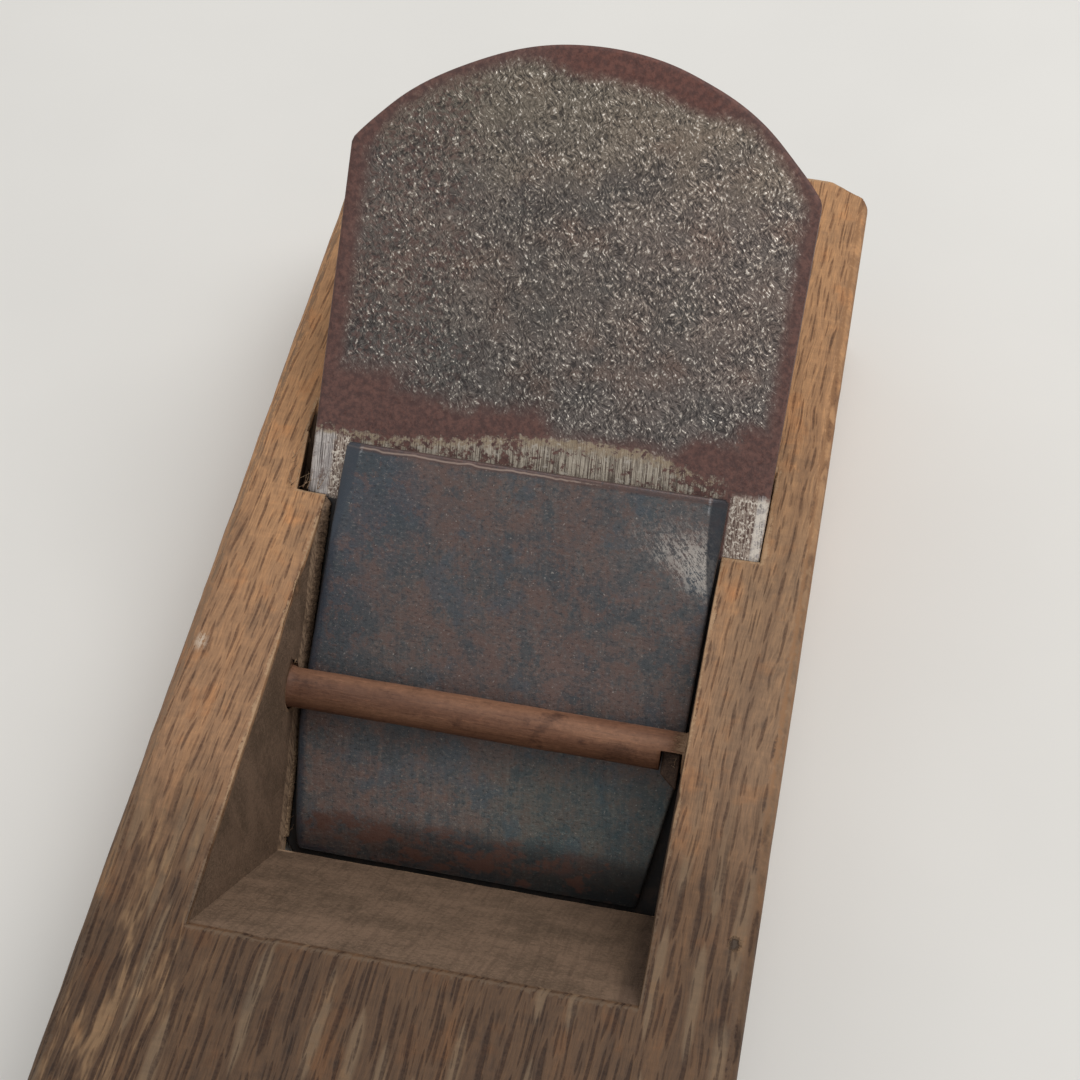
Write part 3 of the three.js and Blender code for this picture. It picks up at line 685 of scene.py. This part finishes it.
def softened(corners, reach, steps):
    """An outline whose corners are rounded from that far along both sides."""
    made = []
    for i, corner in enumerate(corners):
        corner = np.array(corner, float)
        ends = []
        for other in (corners[i - 1], corners[(i + 1) % len(corners)]):
            side = np.array(other, float) - corner
            length = np.hypot(*side)
            ends.append(corner + side / length * min(reach, length / 2))
        for t in np.linspace(0, 1, steps):
            made.append(ends[0] * (1 - t) ** 2 + corner * 2 * t * (1 - t) + ends[1] * t ** 2)
    return np.array(made)


def spaced(outline, spacing):
    """A closed outline with points at even steps along it."""
    closed = np.vstack([outline, outline[:1]])
    runs = np.hypot(*np.diff(closed, axis=0).T)
    marks = np.concatenate([[0], np.cumsum(runs)])
    at = np.linspace(0, marks[-1], round(marks[-1] / spacing), endpoint=False)
    return np.column_stack([np.interp(at, marks, closed[:, k]) for k in (0, 1)])


def inset(outline, depth):
    """An anticlockwise outline moved inwards."""
    ahead = np.roll(outline, -1, 0) - outline
    ahead /= np.hypot(*ahead.T)[:, None]
    normal = np.column_stack([-ahead[:, 1], ahead[:, 0]])
    mitre = normal + np.roll(normal, 1, 0)
    mitre /= (mitre * normal).sum(1)[:, None]
    return outline + mitre * depth


def rim_distance(points, outline):
    """Distance of each point to an outline."""
    least = np.full(len(points), np.inf)
    for a, b in zip(outline, np.roll(outline, -1, 0)):
        side = b - a
        t = np.clip(((points - a) @ side) / (side @ side), 0, 1)
        least = np.minimum(least, np.hypot(*(points - a - t[:, None] * side).T))
    return least


def inside_outline(points, outline):
    """Whether each point lies inside an outline, by counting the sides that it is left of."""
    odd = np.zeros(len(points), bool)
    for a, b in zip(outline, np.roll(outline, -1, 0)):
        if a[1] == b[1]:
            continue
        spans = (points[:, 1] >= min(a[1], b[1])) & (points[:, 1] < max(a[1], b[1]))
        crossing = a[0] + (points[:, 1] - a[1]) * (b[0] - a[0]) / (b[1] - a[1])
        odd ^= spans & (points[:, 0] < crossing)
    return odd


def plate_shape(outline, front, back, columns, rows, roll):
    """A closed plate with rolled rims. front and back give the heights at places across and along it.
    Returns its points, its faces and each point's distance from the rim."""
    rings = [inset(outline, depth) for depth in RIM_ROWS]
    across, along = (values.ravel() for values in np.meshgrid(columns, rows))
    grid = np.column_stack([across, along])
    clear = rim_distance(grid, outline) > RIM_ROWS[-1] + RIM_CLEARANCE
    inside = inside_outline(grid, outline) & clear
    flat = np.vstack([outline, *rings, grid[inside]])
    count = len(outline)
    edges = [(i, (i + 1) % count) for i in range(count)]
    flat = [Vector(p) for p in flat]
    places, _, triangles, origins, _, _ = geometry.delaunay_2d_cdt(flat, edges, [], 1, 1e-6)
    places = np.array([tuple(p) for p in places])
    first = {old: new for new, olds in enumerate(origins) for old in olds}
    loop = [first[i] for i in range(count)]
    distance = rim_distance(places, outline)
    distance[loop] = 0
    high = front(*places.T)
    low = back(*places.T)
    radius = np.minimum(roll, (high - low) * 0.45)
    inward = np.clip(1 - distance / np.maximum(radius, 1e-6), 0, 1)
    fall = radius * (1 - np.sqrt(1 - inward ** 2))
    top = np.column_stack([places, high - fall])
    under = np.column_stack([places, low + fall])
    rows_down = max(1, round(float(np.max(top[loop, 2] - under[loop, 2])) / WALL_ROW))
    points = [top, under]
    walls = [loop]
    for k in range(1, rows_down):
        share = k / rows_down
        walls.append(list(range(2 * len(top) + (k - 1) * count, 2 * len(top) + k * count)))
        points.append(top[loop] * (1 - share) + under[loop] * share)
    walls.append([i + len(top) for i in loop])
    faces = [tuple(t) for t in triangles]
    faces += [tuple(i + len(top) for i in reversed(t)) for t in triangles]
    for upper, lower in zip(walls, walls[1:]):
        for i, j in edges:
            faces.append((upper[i], lower[i], lower[j], upper[j]))
    rim = np.concatenate([distance, distance, np.zeros((rows_down - 1) * count)])
    return np.vstack(points), faces, rim


def tube_faces(rings, count, start=0):
    """The faces of a tube with closed ends, whose points are rings of that count one after another."""
    faces = []
    for low in range(start, start + (rings - 1) * count, count):
        for j in range(count):
            k = (j + 1) % count
            faces.append((low + j, low + k, low + count + k, low + count + j))
    last = start + (rings - 1) * count
    return faces + [tuple(reversed(range(start, start + count))), tuple(range(last, last + count))]


def place_piece(name, points, faces, body, material, own_frame=None, values=None, creases=None):
    """Sets a mesh down as a piece that rides on a body. points are millimetres in the piece's own frame."""
    mesh = bpy.data.meshes.new(name)
    mesh.from_pydata((np.asarray(points) * MM).tolist(), [], faces)
    if own_frame is not None:
        mesh.transform(own_frame)
    for key, numbers in (values or {}).items():
        attribute = mesh.attributes.new(key, "FLOAT", "POINT")
        attribute.data.foreach_set("value", np.asarray(numbers, np.float32))
    mesh.shade_smooth()
    if creases:
        for side in mesh.edges:
            side.use_edge_sharp = tuple(sorted(side.vertices)) in creases
    mesh.materials.append(material)
    piece = bpy.data.objects.new(name, mesh)
    bpy.context.scene.collection.objects.link(piece)
    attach(piece, body)
    return piece


# Blade

BLADE_GRID = 0.55
SEATED_GRID = 1.6
STEEL_GRID = 1.1
BLADE_RIM_STEP = 0.9
BLADE_ROLL = 0.55
STEEL_ROLL = 0.12
FORGED_FROM = 68
FORGED_FADE = 4
# Height and size of a soft unevenness, here and below
FORGED_GRAIN = (0.05, 1.3)
BLADE_WAVES = (0.06, 11)


def blade_outline():
    """The blade seen on its face: ground corners at the edge, tapering sides and the round head."""
    rise = BLADE_HIGH - HEAD_CORNER
    radius = (HEAD_HALF ** 2 + rise ** 2) / (2 * rise)
    centre = BLADE_HIGH - radius
    start = math.atan2(HEAD_CORNER - centre, HEAD_HALF)
    turn = np.linspace(start, math.pi - start, 120)
    share = np.linspace(0, 1, 120)
    flats = sum(depth * np.exp(-((share - at) / reach) ** 2) for at, depth, reach in HEAD_FLATS)
    arc = np.column_stack([(radius - flats) * np.cos(turn), centre + (radius - flats) * np.sin(turn)])
    low = [(-EDGE_HALF, BLADE_LOW), (EDGE_HALF, BLADE_LOW), (EDGE_CORNER_HALF, EDGE_CORNER_ALONG)]
    return np.vstack([low, arc, [(-EDGE_CORNER_HALF, EDGE_CORNER_ALONG)]])


def cut_below(outline, along):
    """The part of an outline that lies above a line across it."""
    kept = []
    for a, b in zip(outline, np.roll(outline, -1, 0)):
        if a[1] >= along:
            kept.append(a)
        if (a[1] - along) * (b[1] - along) < 0:
            kept.append(a + (b - a) * (along - a[1]) / (b[1] - a[1]))
    return np.array(kept)


def cut_above(outline, along):
    """The part of an outline that lies below a line across it."""
    return cut_below(outline[::-1] * (1, -1), -along)[::-1] * (1, -1)


def bevel_depth(along):
    """Depth at which the ground bevel cuts the blade."""
    return (along - BLADE_LOW) * math.tan(BEVEL_ANGLE)


def wedge_back(along):
    """Depth of the blade's back: bevel, wedge, and the curve in at the head."""
    wedge = WEDGE_AT_TOP + (along - ALONG_TOP) * math.tan(WEDGE_ANGLE)
    start = BLADE_HIGH - HEAD_CURVE_LENGTH
    at_start = WEDGE_AT_TOP + (start - ALONG_TOP) * math.tan(WEDGE_ANGLE)
    share = np.clip((along - start) / HEAD_CURVE_LENGTH, 0, 1)
    curve = wedge - (at_start + HEAD_CURVE_LENGTH * math.tan(WEDGE_ANGLE) - HEAD_THICKNESS) * share ** 2
    return np.minimum(bevel_depth(along), curve)


def steel_depth(along, gap):
    """Depth of the steel layer's underside, which rises to the face along its scarf."""
    top = STEEL_TOP + gap
    return np.interp(along, [top - STEEL_SCARF, top], [STEEL_THICKNESS + gap, gap], right=0)


def hollow(across, along):
    """The shallow hollow in the steel's face."""
    from_ends = np.minimum(along - HOLLOW_LOW, HOLLOW_HIGH - along)
    share = np.clip(np.minimum(HOLLOW_HALF - np.abs(across), from_ends) / HOLLOW_SLOPE, 0, 1)
    return -HOLLOW_DEPTH * share * share * (3 - 2 * share)


def make_blade(iron_finish, steel_finish):
    """The iron with its forged head, and the steel layer on its face."""
    whole = blade_outline()
    iron_low = BLADE_LOW + (STEEL_THICKNESS + SEAM) / math.tan(BEVEL_ANGLE) + 0.1
    outline = spaced(softened(cut_below(whole, iron_low), 0.5, 3), BLADE_RIM_STEP)
    seam = STEEL_TOP + SEAM
    rows = np.concatenate([
        np.arange(6, seam - STEEL_SCARF - 0.9, SEATED_GRID), [seam - STEEL_SCARF],
        np.arange(50, seam - 0.4, SEATED_GRID), [seam, seam + 0.05],
        np.arange(seam + 0.5, BLADE_HIGH + 0.2, BLADE_GRID),
    ])
    points, faces, rim = plate_shape(
        outline,
        lambda across, along: -steel_depth(along, SEAM),
        lambda across, along: -wedge_back(along),
        np.arange(-36, 36, BLADE_GRID), rows, BLADE_ROLL,
    )
    forged = np.clip((points[:, 1] - FORGED_FROM) / FORGED_FADE, 0, 1)
    relief = uneven(points, 1, *FORGED_GRAIN) * forged + uneven(points, 2, *BLADE_WAVES)
    side = np.where(points[:, 2] > -3, -1.0, 1.0) * (rim > 0)
    points[:, 2] += side * relief
    iron = place_piece(
        "iron_back", points, faces, "blade", iron_finish, BLADE_FRAME, {"rim": rim}
    )
    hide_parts("blade_iron")

    outline = cut_above(cut_below(whole, BLADE_LOW + 0.1), STEEL_TOP - 0.2)
    points, faces, _ = plate_shape(
        spaced(softened(outline, 0.4, 3), BLADE_RIM_STEP),
        hollow,
        lambda across, along: -np.minimum(steel_depth(along, 0), bevel_depth(along)),
        np.arange(-35, 35, STEEL_GRID), np.arange(2, 57, STEEL_GRID), STEEL_ROLL,
    )
    steel = place_piece("steel_face", points, faces, "blade", steel_finish, BLADE_FRAME)
    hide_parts("blade_steel")


# Chip breaker

CHIP_GRID = 0.6
CHIP_RIM_STEP = 0.8
CHIP_ROLL = 0.3
CHIP_GRAIN = (0.03, 3)
CHIP_WAVES = (0.05, 16)


def chip_middle(along):
    """How far the chip breaker's middle line leans across at a place along it."""
    return (along - CHIP_LENGTH / 2) * math.tan(CHIP_LEAN)


def ear(across, along):
    """How far the two top corners are bent down."""
    from_side = CHIP_HALF - np.abs(across - chip_middle(along))
    from_top = CHIP_LENGTH - along
    share = np.clip(1 - from_side / EAR_ACROSS - from_top / EAR_ALONG, 0, 1)
    return CHIP_LENGTH * math.sin(CHIP_TILT) * share


def chip_front(across, along):
    """The face, with its rounded bevel at the lower end."""
    share = np.clip(along / CHIP_BEVEL, 0, 1)
    bevel = CHIP_EDGE + (CHIP_THICKNESS - CHIP_EDGE) * (1 - (1 - share) ** 2)
    return bevel - ear(across, along)


def make_chip_breaker(finish):
    """The plate with its rounded lower bevel and its two top corners bent down."""
    toe = CHIP_HALF - TOE_INSET
    corners = (
        (-toe, 0), (toe, 0), (CHIP_HALF, TOE_LENGTH),
        (CHIP_HALF, CHIP_LENGTH), (-CHIP_HALF, CHIP_LENGTH), (-CHIP_HALF, TOE_LENGTH),
    )
    corners = [(across + chip_middle(along), along) for across, along in corners]
    points, faces, rim = plate_shape(
        spaced(softened(corners, 0.6, 4), CHIP_RIM_STEP),
        chip_front,
        lambda across, along: -ear(across, along),
        np.arange(-31, 31, CHIP_GRID), np.arange(0, 63, CHIP_GRID), CHIP_ROLL,
    )
    relief = uneven(points, 3, *CHIP_GRAIN) + uneven(points, 4, *CHIP_WAVES)
    points[:, 2] += np.where(points[:, 2] > 0.8, -relief, 0) * (rim > 0)
    chip = place_piece(
        "chip_plate", points, faces, "chip_breaker", finish, CHIP_FRAME, {"rim": rim}
    )
    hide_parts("chip_breaker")


# Body

EDGE_ROWS = (0.22, 0.55, 1.1)
FACE_CUTS = (
    np.arange(body_low.x + 2, body_high.x, 2.2),
    np.concatenate([np.arange(-142, -36, 4.3), np.arange(-35, 76, 1.6), np.arange(79, 143, 2.6)]),
    np.arange(2.3, body_high.z, 2.9),
)
WORN_REACH = 0.8
SHOULDER_REACH = 0.2
GROOVE_HALF = 36.3
GROOVE_TOP = 69.2
GROOVE_REACH = 0.2
BLADE_TAPER = math.radians(1.05)
# Across, along, depth and reach along the edge
EDGE_NICKS = (
    (-30.3, 46.5, 0.55, 1.8), (-30.3, 41.0, 0.25, 3.0), (-43.2, 60.0, 0.18, 3.0), (43.2, 18.0, 0.3, 2.2),
    (30.3, 22.0, 0.2, 1.5), (-20.0, -9.2, 0.3, 1.2), (43.3, -31.0, 0.4, 2.5), (-43.3, -60.0, 0.5, 3.0),
    (43.3, 96.0, 0.3, 2.0), (-43.0, 120.0, 0.3, 2.5), (12.0, -144.0, 0.5, 2.0), (-28.0, 144.0, 0.4, 2.0),
)
NICK_WIDTH = 0.9
CRUSH_DEPTH = 0.35
CRUSH_PLACE = (-36, 66)
CRUSH_REACH = (1.2, 3.5)
PLANED_WAVES = (0.03, 9)
LARGE_FACE = 40


def slice_mesh(work, point, normal):
    everything = work.verts[:] + work.edges[:] + work.faces[:]
    bmesh.ops.bisect_plane(work, geom=everything, dist=1e-7, plane_co=point, plane_no=normal)


def large_planes(work):
    """The planes of the body's larger faces, each once: its normal and its distance."""
    planes = []
    for face in work.faces:
        if face.calc_area() > LARGE_FACE * MM * MM:
            distance = face.normal.dot(face.calc_center_median())
            if all(face.normal.dot(n) < 0.9999 or abs(distance - d) > 0.01 * MM for n, d in planes):
                planes.append((face.normal.copy(), distance))
    return planes


def edge_distance(work, points):
    """Distance of each point to the nearest outer edge."""
    spots = []
    for side in work.edges:
        if len(side.link_faces) == 2 and side.calc_face_angle_signed() > math.radians(25):
            a, b = (v.co / MM for v in side.verts)
            for t in np.linspace(0, 1, 2 + int((a - b).length / 0.4)):
                spots.append(a.lerp(b, t))
    tree = kdtree.KDTree(len(spots))
    for i, spot in enumerate(spots):
        tree.insert(spot, i)
    tree.balance()
    return np.array([min(tree.find(p)[2], 20.0) for p in points])


def make_body(finish):
    """The block from its CAD solid, cut into fine faces, with worn edges and a hand-planed unevenness."""
    work = bmesh.new()
    work.from_mesh(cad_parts["dai"].data)
    bmesh.ops.remove_doubles(work, verts=work.verts, dist=0.002 * MM)
    bmesh.ops.dissolve_limit(work, angle_limit=math.radians(0.5), verts=work.verts, edges=work.edges)
    for normal, distance in large_planes(work):
        for row in EDGE_ROWS:
            slice_mesh(work, normal * (distance - row * MM), normal)
    for axis, cuts in zip(Matrix.Identity(3), FACE_CUTS):
        for at in cuts:
            slice_mesh(work, axis * at * MM, axis)
    bmesh.ops.remove_doubles(work, verts=work.verts, dist=0.01 * MM)
    work.normal_update()

    points = np.array([tuple(v.co / MM) for v in work.verts])
    normals = np.array([tuple(v.normal) for v in work.verts])
    x, y, z = points.T.copy()
    edge = edge_distance(work, points)
    wear = 0.15 + 0.12 * bumps(points, 5, 5) + 0.28 * np.clip(bumps(points, 2.6, 6) - 0.25, 0, 1)
    fade = np.clip(1 - edge / WORN_REACH, 0, 1) ** 2
    waves = uneven(points, 7, *PLANED_WAVES)
    upward = normals[:, 2] > 0.5
    near = ((x - CRUSH_PLACE[0]) / CRUSH_REACH[0]) ** 2 + ((y - CRUSH_PLACE[1]) / CRUSH_REACH[1]) ** 2
    crush = CRUSH_DEPTH * np.exp(-near) * upward
    for across, along, depth, reach in EDGE_NICKS:
        near = ((x - across) / NICK_WIDTH) ** 2 + ((y - along) / reach) ** 2
        crush += depth * np.exp(-near) * (z > body_high.z * 0.3) * (edge < 2.5)
    sunk = np.maximum(wear, 0.02) * fade + waves + crush
    out = z * math.cos(PITCH) - (y - MOUTH_Y) * math.sin(PITCH)
    up_blade = z * math.sin(PITCH) + (y - MOUTH_Y) * math.cos(PITCH)
    behind = y > MOUTH_Y
    shoulder = (np.abs(out - SEAM) < 0.03) & (np.abs(x) > 28) & behind
    groove = (np.abs(x - GROOVE_HALF) < 0.02) & (out < 1) & (out > -12) & behind
    closer = GROOVE_REACH + np.clip(GROOVE_TOP - up_blade, 0, 15) * math.tan(BLADE_TAPER)
    points -= normals * sunk[:, None]
    points[shoulder] += np.array([0, math.sin(PITCH), -math.cos(PITCH)]) * SHOULDER_REACH
    points[groove, 0] -= closer[groove]
    faces = [tuple(v.index for v in face.verts) for face in work.faces]
    creases = {
        tuple(sorted(v.index for v in side.verts)) for side in work.edges
        if len(side.link_faces) == 2 and side.calc_face_angle_signed() < -math.radians(20)
    }
    work.free()
    block = place_piece(
        "oak_block", points, faces, "dai", finish, values={"edge": edge}, creases=creases
    )
    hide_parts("dai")


# Pin and chock

CHOCK_LEFT = 26.55
CHOCK_RIGHT = 29.15
CHOCK_LOW = 3.632
CHOCK_HIGH = PIN_OUT + 1.2
CHOCK_SHORT_SIDE = 3.4
CHOCK_LONG_SIDE = 5.6
SOCKET_START = 29.6
SOCKET_FILL = 0.3
PIN_EASE = 0.25
PIN_SIDES = 56
PIN_GRAIN = (0.05, 1.4)
PIN_WAVES = (0.04, 5)
CHOCK_ROLL = 0.25
CHOCK_WAVES = (0.04, 1.5)


def make_press_pin(finish):
    """A slightly uneven dowel, notched where the chock stands."""
    notch = (CHOCK_LEFT - SEAM, CHOCK_RIGHT + SEAM)
    stations = np.sort(np.concatenate([
        np.arange(PIN_LEFT + 0.6, PIN_RIGHT - 0.6, 0.9),
        [PIN_LEFT, PIN_LEFT + PIN_EASE, PIN_RIGHT - PIN_EASE, PIN_RIGHT],
        [notch[0] - 0.02, notch[0] + 0.02, notch[1] - 0.02, notch[1] + 0.02],
    ]))
    points = []
    for across in stations:
        end = min(across - PIN_LEFT, PIN_RIGHT - across)
        eased = PIN_EASE * (1 - min(end / PIN_EASE, 1)) ** 2
        radius = PIN_RADIUS - eased + SOCKET_FILL * (abs(across) > SOCKET_START)
        for turn in np.linspace(0, 2 * math.pi, PIN_SIDES, endpoint=False):
            points.append((across, PIN_ALONG + radius * math.cos(turn), PIN_OUT + radius * math.sin(turn)))
    points = np.array(points)
    inward = uneven(points * (0.12, 1, 1), 8, *PIN_GRAIN) + uneven(points, 9, *PIN_WAVES)
    away = (points - (0, PIN_ALONG, PIN_OUT)) * (0, 1, 1)
    points -= away / PIN_RADIUS * inward[:, None]
    across, along, _ = points.T
    cut = (across > notch[0]) & (across < notch[1]) & (along < PIN_ALONG + SEAM)
    points[cut, 1] = PIN_ALONG + SEAM
    faces = tube_faces(len(stations), PIN_SIDES)
    pin = place_piece("press_pin_dowel", points, faces, "dai", finish, SEAT_FRAME)
    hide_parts("press_pin")


def make_chock(finish):
    """The small block at the pin's right end, with eased corners."""
    corners = [
        (CHOCK_LEFT, PIN_ALONG), (CHOCK_LEFT, PIN_ALONG - CHOCK_SHORT_SIDE),
        (CHOCK_RIGHT, PIN_ALONG - CHOCK_LONG_SIDE), (CHOCK_RIGHT, PIN_ALONG),
    ]
    points, faces, _ = plate_shape(
        spaced(softened(corners, 0.3, 4), 0.25),
        lambda across, along: np.full(len(across), CHOCK_HIGH),
        lambda across, along: np.full(len(across), CHOCK_LOW),
        np.arange(26.8, 29, 0.4), np.arange(23, 29, 0.4), CHOCK_ROLL,
    )
    points[:, 2] -= uneven(points, 10, *CHOCK_WAVES) * (points[:, 2] > 6)
    chock = place_piece("chock_block", points, faces, "dai", finish, SEAT_FRAME)
    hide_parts("pin_chock")


# Rough wood

THROAT_HALF = 30.2
CHEEK_LEAN = math.radians(2.6)
LEDGE_LIMIT = 29.1
LEDGE_LOW = 5
LEDGE_TOP = 57.6
LEDGE_FADE = 1.2
# Height above the bed and share of the reach
LEDGE_PROFILE = ((0.38, 0), (0.42, 1), (1.0, 0.9), (1.9, 0.55), (3.4, 0))
LOWEST_SLIDE = 1.8
FIBRE_RADIUS = 0.075
FIBRE_STEPS = 7


def cheek_half(along, out):
    """How far the throat's cheek is from the middle."""
    depth = body_high.z - along * math.sin(PITCH) - out * math.cos(PITCH)
    return THROAT_HALF - depth * math.tan(CHEEK_LEAN)


def make_ledge(finish):
    """The sawn strip that stands proud at the foot of the left cheek, beside the chip breaker."""
    stations = np.arange(LEDGE_LOW, LEDGE_TOP, 0.3)
    chance = np.random.default_rng(11).random((len(stations), 3))
    points = []
    for along, (side, lift, split) in zip(stations, chance):
        half = cheek_half(along, 0.4)
        reach = half - LEDGE_LIMIT
        if along < 30:
            reach = np.interp(along, [18, 21, 30], [0.35, 0.05, reach])
        fade = np.clip((LEDGE_TOP - along) / LEDGE_FADE, 0, 1)
        reach = reach * fade * (1 - 0.2 * side * side) - 0.1 * (1 - fade)
        under_top = (body_high.z - 0.3 - along * math.sin(PITCH)) / math.cos(PITCH)
        for height, share in LEDGE_PROFILE:
            root = cheek_half(along, height) + 0.4
            out = min(height * (0.92 + 0.16 * lift), max(under_top, 0.4))
            points.append((-root + share * (root - half + reach), along + 0.2 * split * share, out))
    faces = tube_faces(len(stations), len(LEDGE_PROFILE))
    place_piece("sawn_ledge", np.array(points), faces, "dai", finish, SEAT_FRAME)


def chip_side(along):
    """The chip breaker's left side beside a place up the blade, with both slides at their low ends."""
    up = along - CHIP_ALONG + 2 * LOWEST_SLIDE
    half = CHIP_HALF - TOE_INSET * max(1 - up / TOE_LENGTH, 0)
    return CHIP_SHIFT - half + chip_middle(up)


def make_fibres(finish):
    """Loose torn fibres at the left shoulder, at the foot of the left cheek and at the pin's right end."""
    chance = np.random.default_rng(5)
    roots = []
    for t in chance.random(9):
        roots.append(((-36.2 + 5.5 * t, 58.2 + 0.2 * chance.random(), 0.45), (0.4, 1.0, 0.35), 2.6))
    for t in chance.random(7):
        roots.append(((-36.6, 59 + 5 * t, -0.5), (0.8, 0.2, 0.9), 2.0))
    for along in 5.5 + 15 * chance.random(22):
        roots.append(((-cheek_half(along, 0.5), along, 0.5), (0.7, 0.5, 0.5), 1.1))
    for t in chance.random(6):
        roots.append(((28.6, PIN_ALONG - 2 + 4 * t, PIN_OUT + 2.4), (-0.8, 0.4, 0.5), 1.6))
    points = []
    faces = []
    for root, ahead, length in roots:
        ahead = np.array(ahead) + 0.5 * chance.normal(size=3)
        bend = chance.normal(size=3)
        length = length * (0.6 + 0.8 * chance.random())
        faces += tube_faces(FIBRE_STEPS, 3, len(points))
        for i in range(FIBRE_STEPS):
            t = i / (FIBRE_STEPS - 1)
            middle = np.array(root) + length * (ahead * t + bend * 0.45 * t * t) / np.linalg.norm(ahead)
            middle[2] = max(middle[2], 0.42 if middle[0] > -30 else -0.6)
            if middle[1] < 25:
                middle[0] = min(middle[0], chip_side(middle[1]) - 0.15)
            radius = FIBRE_RADIUS * (1 - 0.85 * t)
            for turn in (0, 2.094, 4.189):
                beside = np.array([math.cos(turn), 0.3 * math.sin(turn), math.sin(turn)])
                points.append(middle + radius * beside)
    place_piece("torn_fibres", np.array(points), faces, "dai", finish, SEAT_FRAME)


# Studio

FLOOR_REACH = 2.5
FLOOR_COLOUR = (0.735, 0.72, 0.685)
SKY_STRENGTH = 0.55
LAMP_PLACE = Vector((0.32, 0.30, 1.0))
LAMP_SIDE = 0.75
LAMP_LEVEL = 0.5


def make_studio():
    """Pale floor, even sky and one large soft lamp above and behind."""
    paint = Finish("pale_floor")
    tone = step(paint.cloud((60, 60, 60), 3, 0.5), 0.3, 0.7)
    paint.done(mix(tone, FLOOR_COLOUR, tuple(c * 1.03 for c in FLOOR_COLOUR)), 0.8)
    below = paint.node("NewGeometry", output="Backfacing")
    clear = paint.node("BsdfTransparent")
    pick = paint.node("MixShader", sockets=[below, Wire(paint, paint.shader.outputs[0]), clear])
    paint.tree.links.new(pick.socket, paint.tree.nodes["Material Output"].inputs["Surface"])
    mesh = bpy.data.meshes.new("floor")
    r = FLOOR_REACH
    mesh.from_pydata([(-r, -r, 0), (r, -r, 0), (r, r, 0), (-r, r, 0)], [], [(0, 1, 2, 3)])
    mesh.materials.append(paint.material)
    floor = bpy.data.objects.new("floor", mesh)
    bpy.context.scene.collection.objects.link(floor)

    world = bpy.data.worlds.new("sky")
    world.use_nodes = True
    world.node_tree.nodes["Background"].inputs["Strength"].default_value = SKY_STRENGTH
    world.node_tree.nodes["Background"].inputs["Color"].default_value = (1, 1, 1, 1)
    bpy.context.scene.world = world

    light = bpy.data.lights.new("lamp", "AREA")
    light.size = LAMP_SIDE
    distance = LAMP_PLACE.length
    light.energy = LAMP_LEVEL * math.pi ** 2 * distance ** 3 / LAMP_PLACE.z
    lamp = bpy.data.objects.new("lamp", light)
    lamp.location = LAMP_PLACE
    lamp.rotation_euler = LAMP_PLACE.to_track_quat("Z", "Y").to_euler()
    bpy.context.scene.collection.objects.link(lamp)


make_camera()
make_studio()
make_body(planed_oak())
make_blade(forged_iron(), ground_steel())
make_chip_breaker(blued_plate())
make_press_pin(pin_wood())
make_chock(chock_wood())
torn_finish = torn_oak()
make_ledge(torn_finish)
make_fibres(torn_finish)
bpy.context.scene.view_settings.view_transform = "Standard"
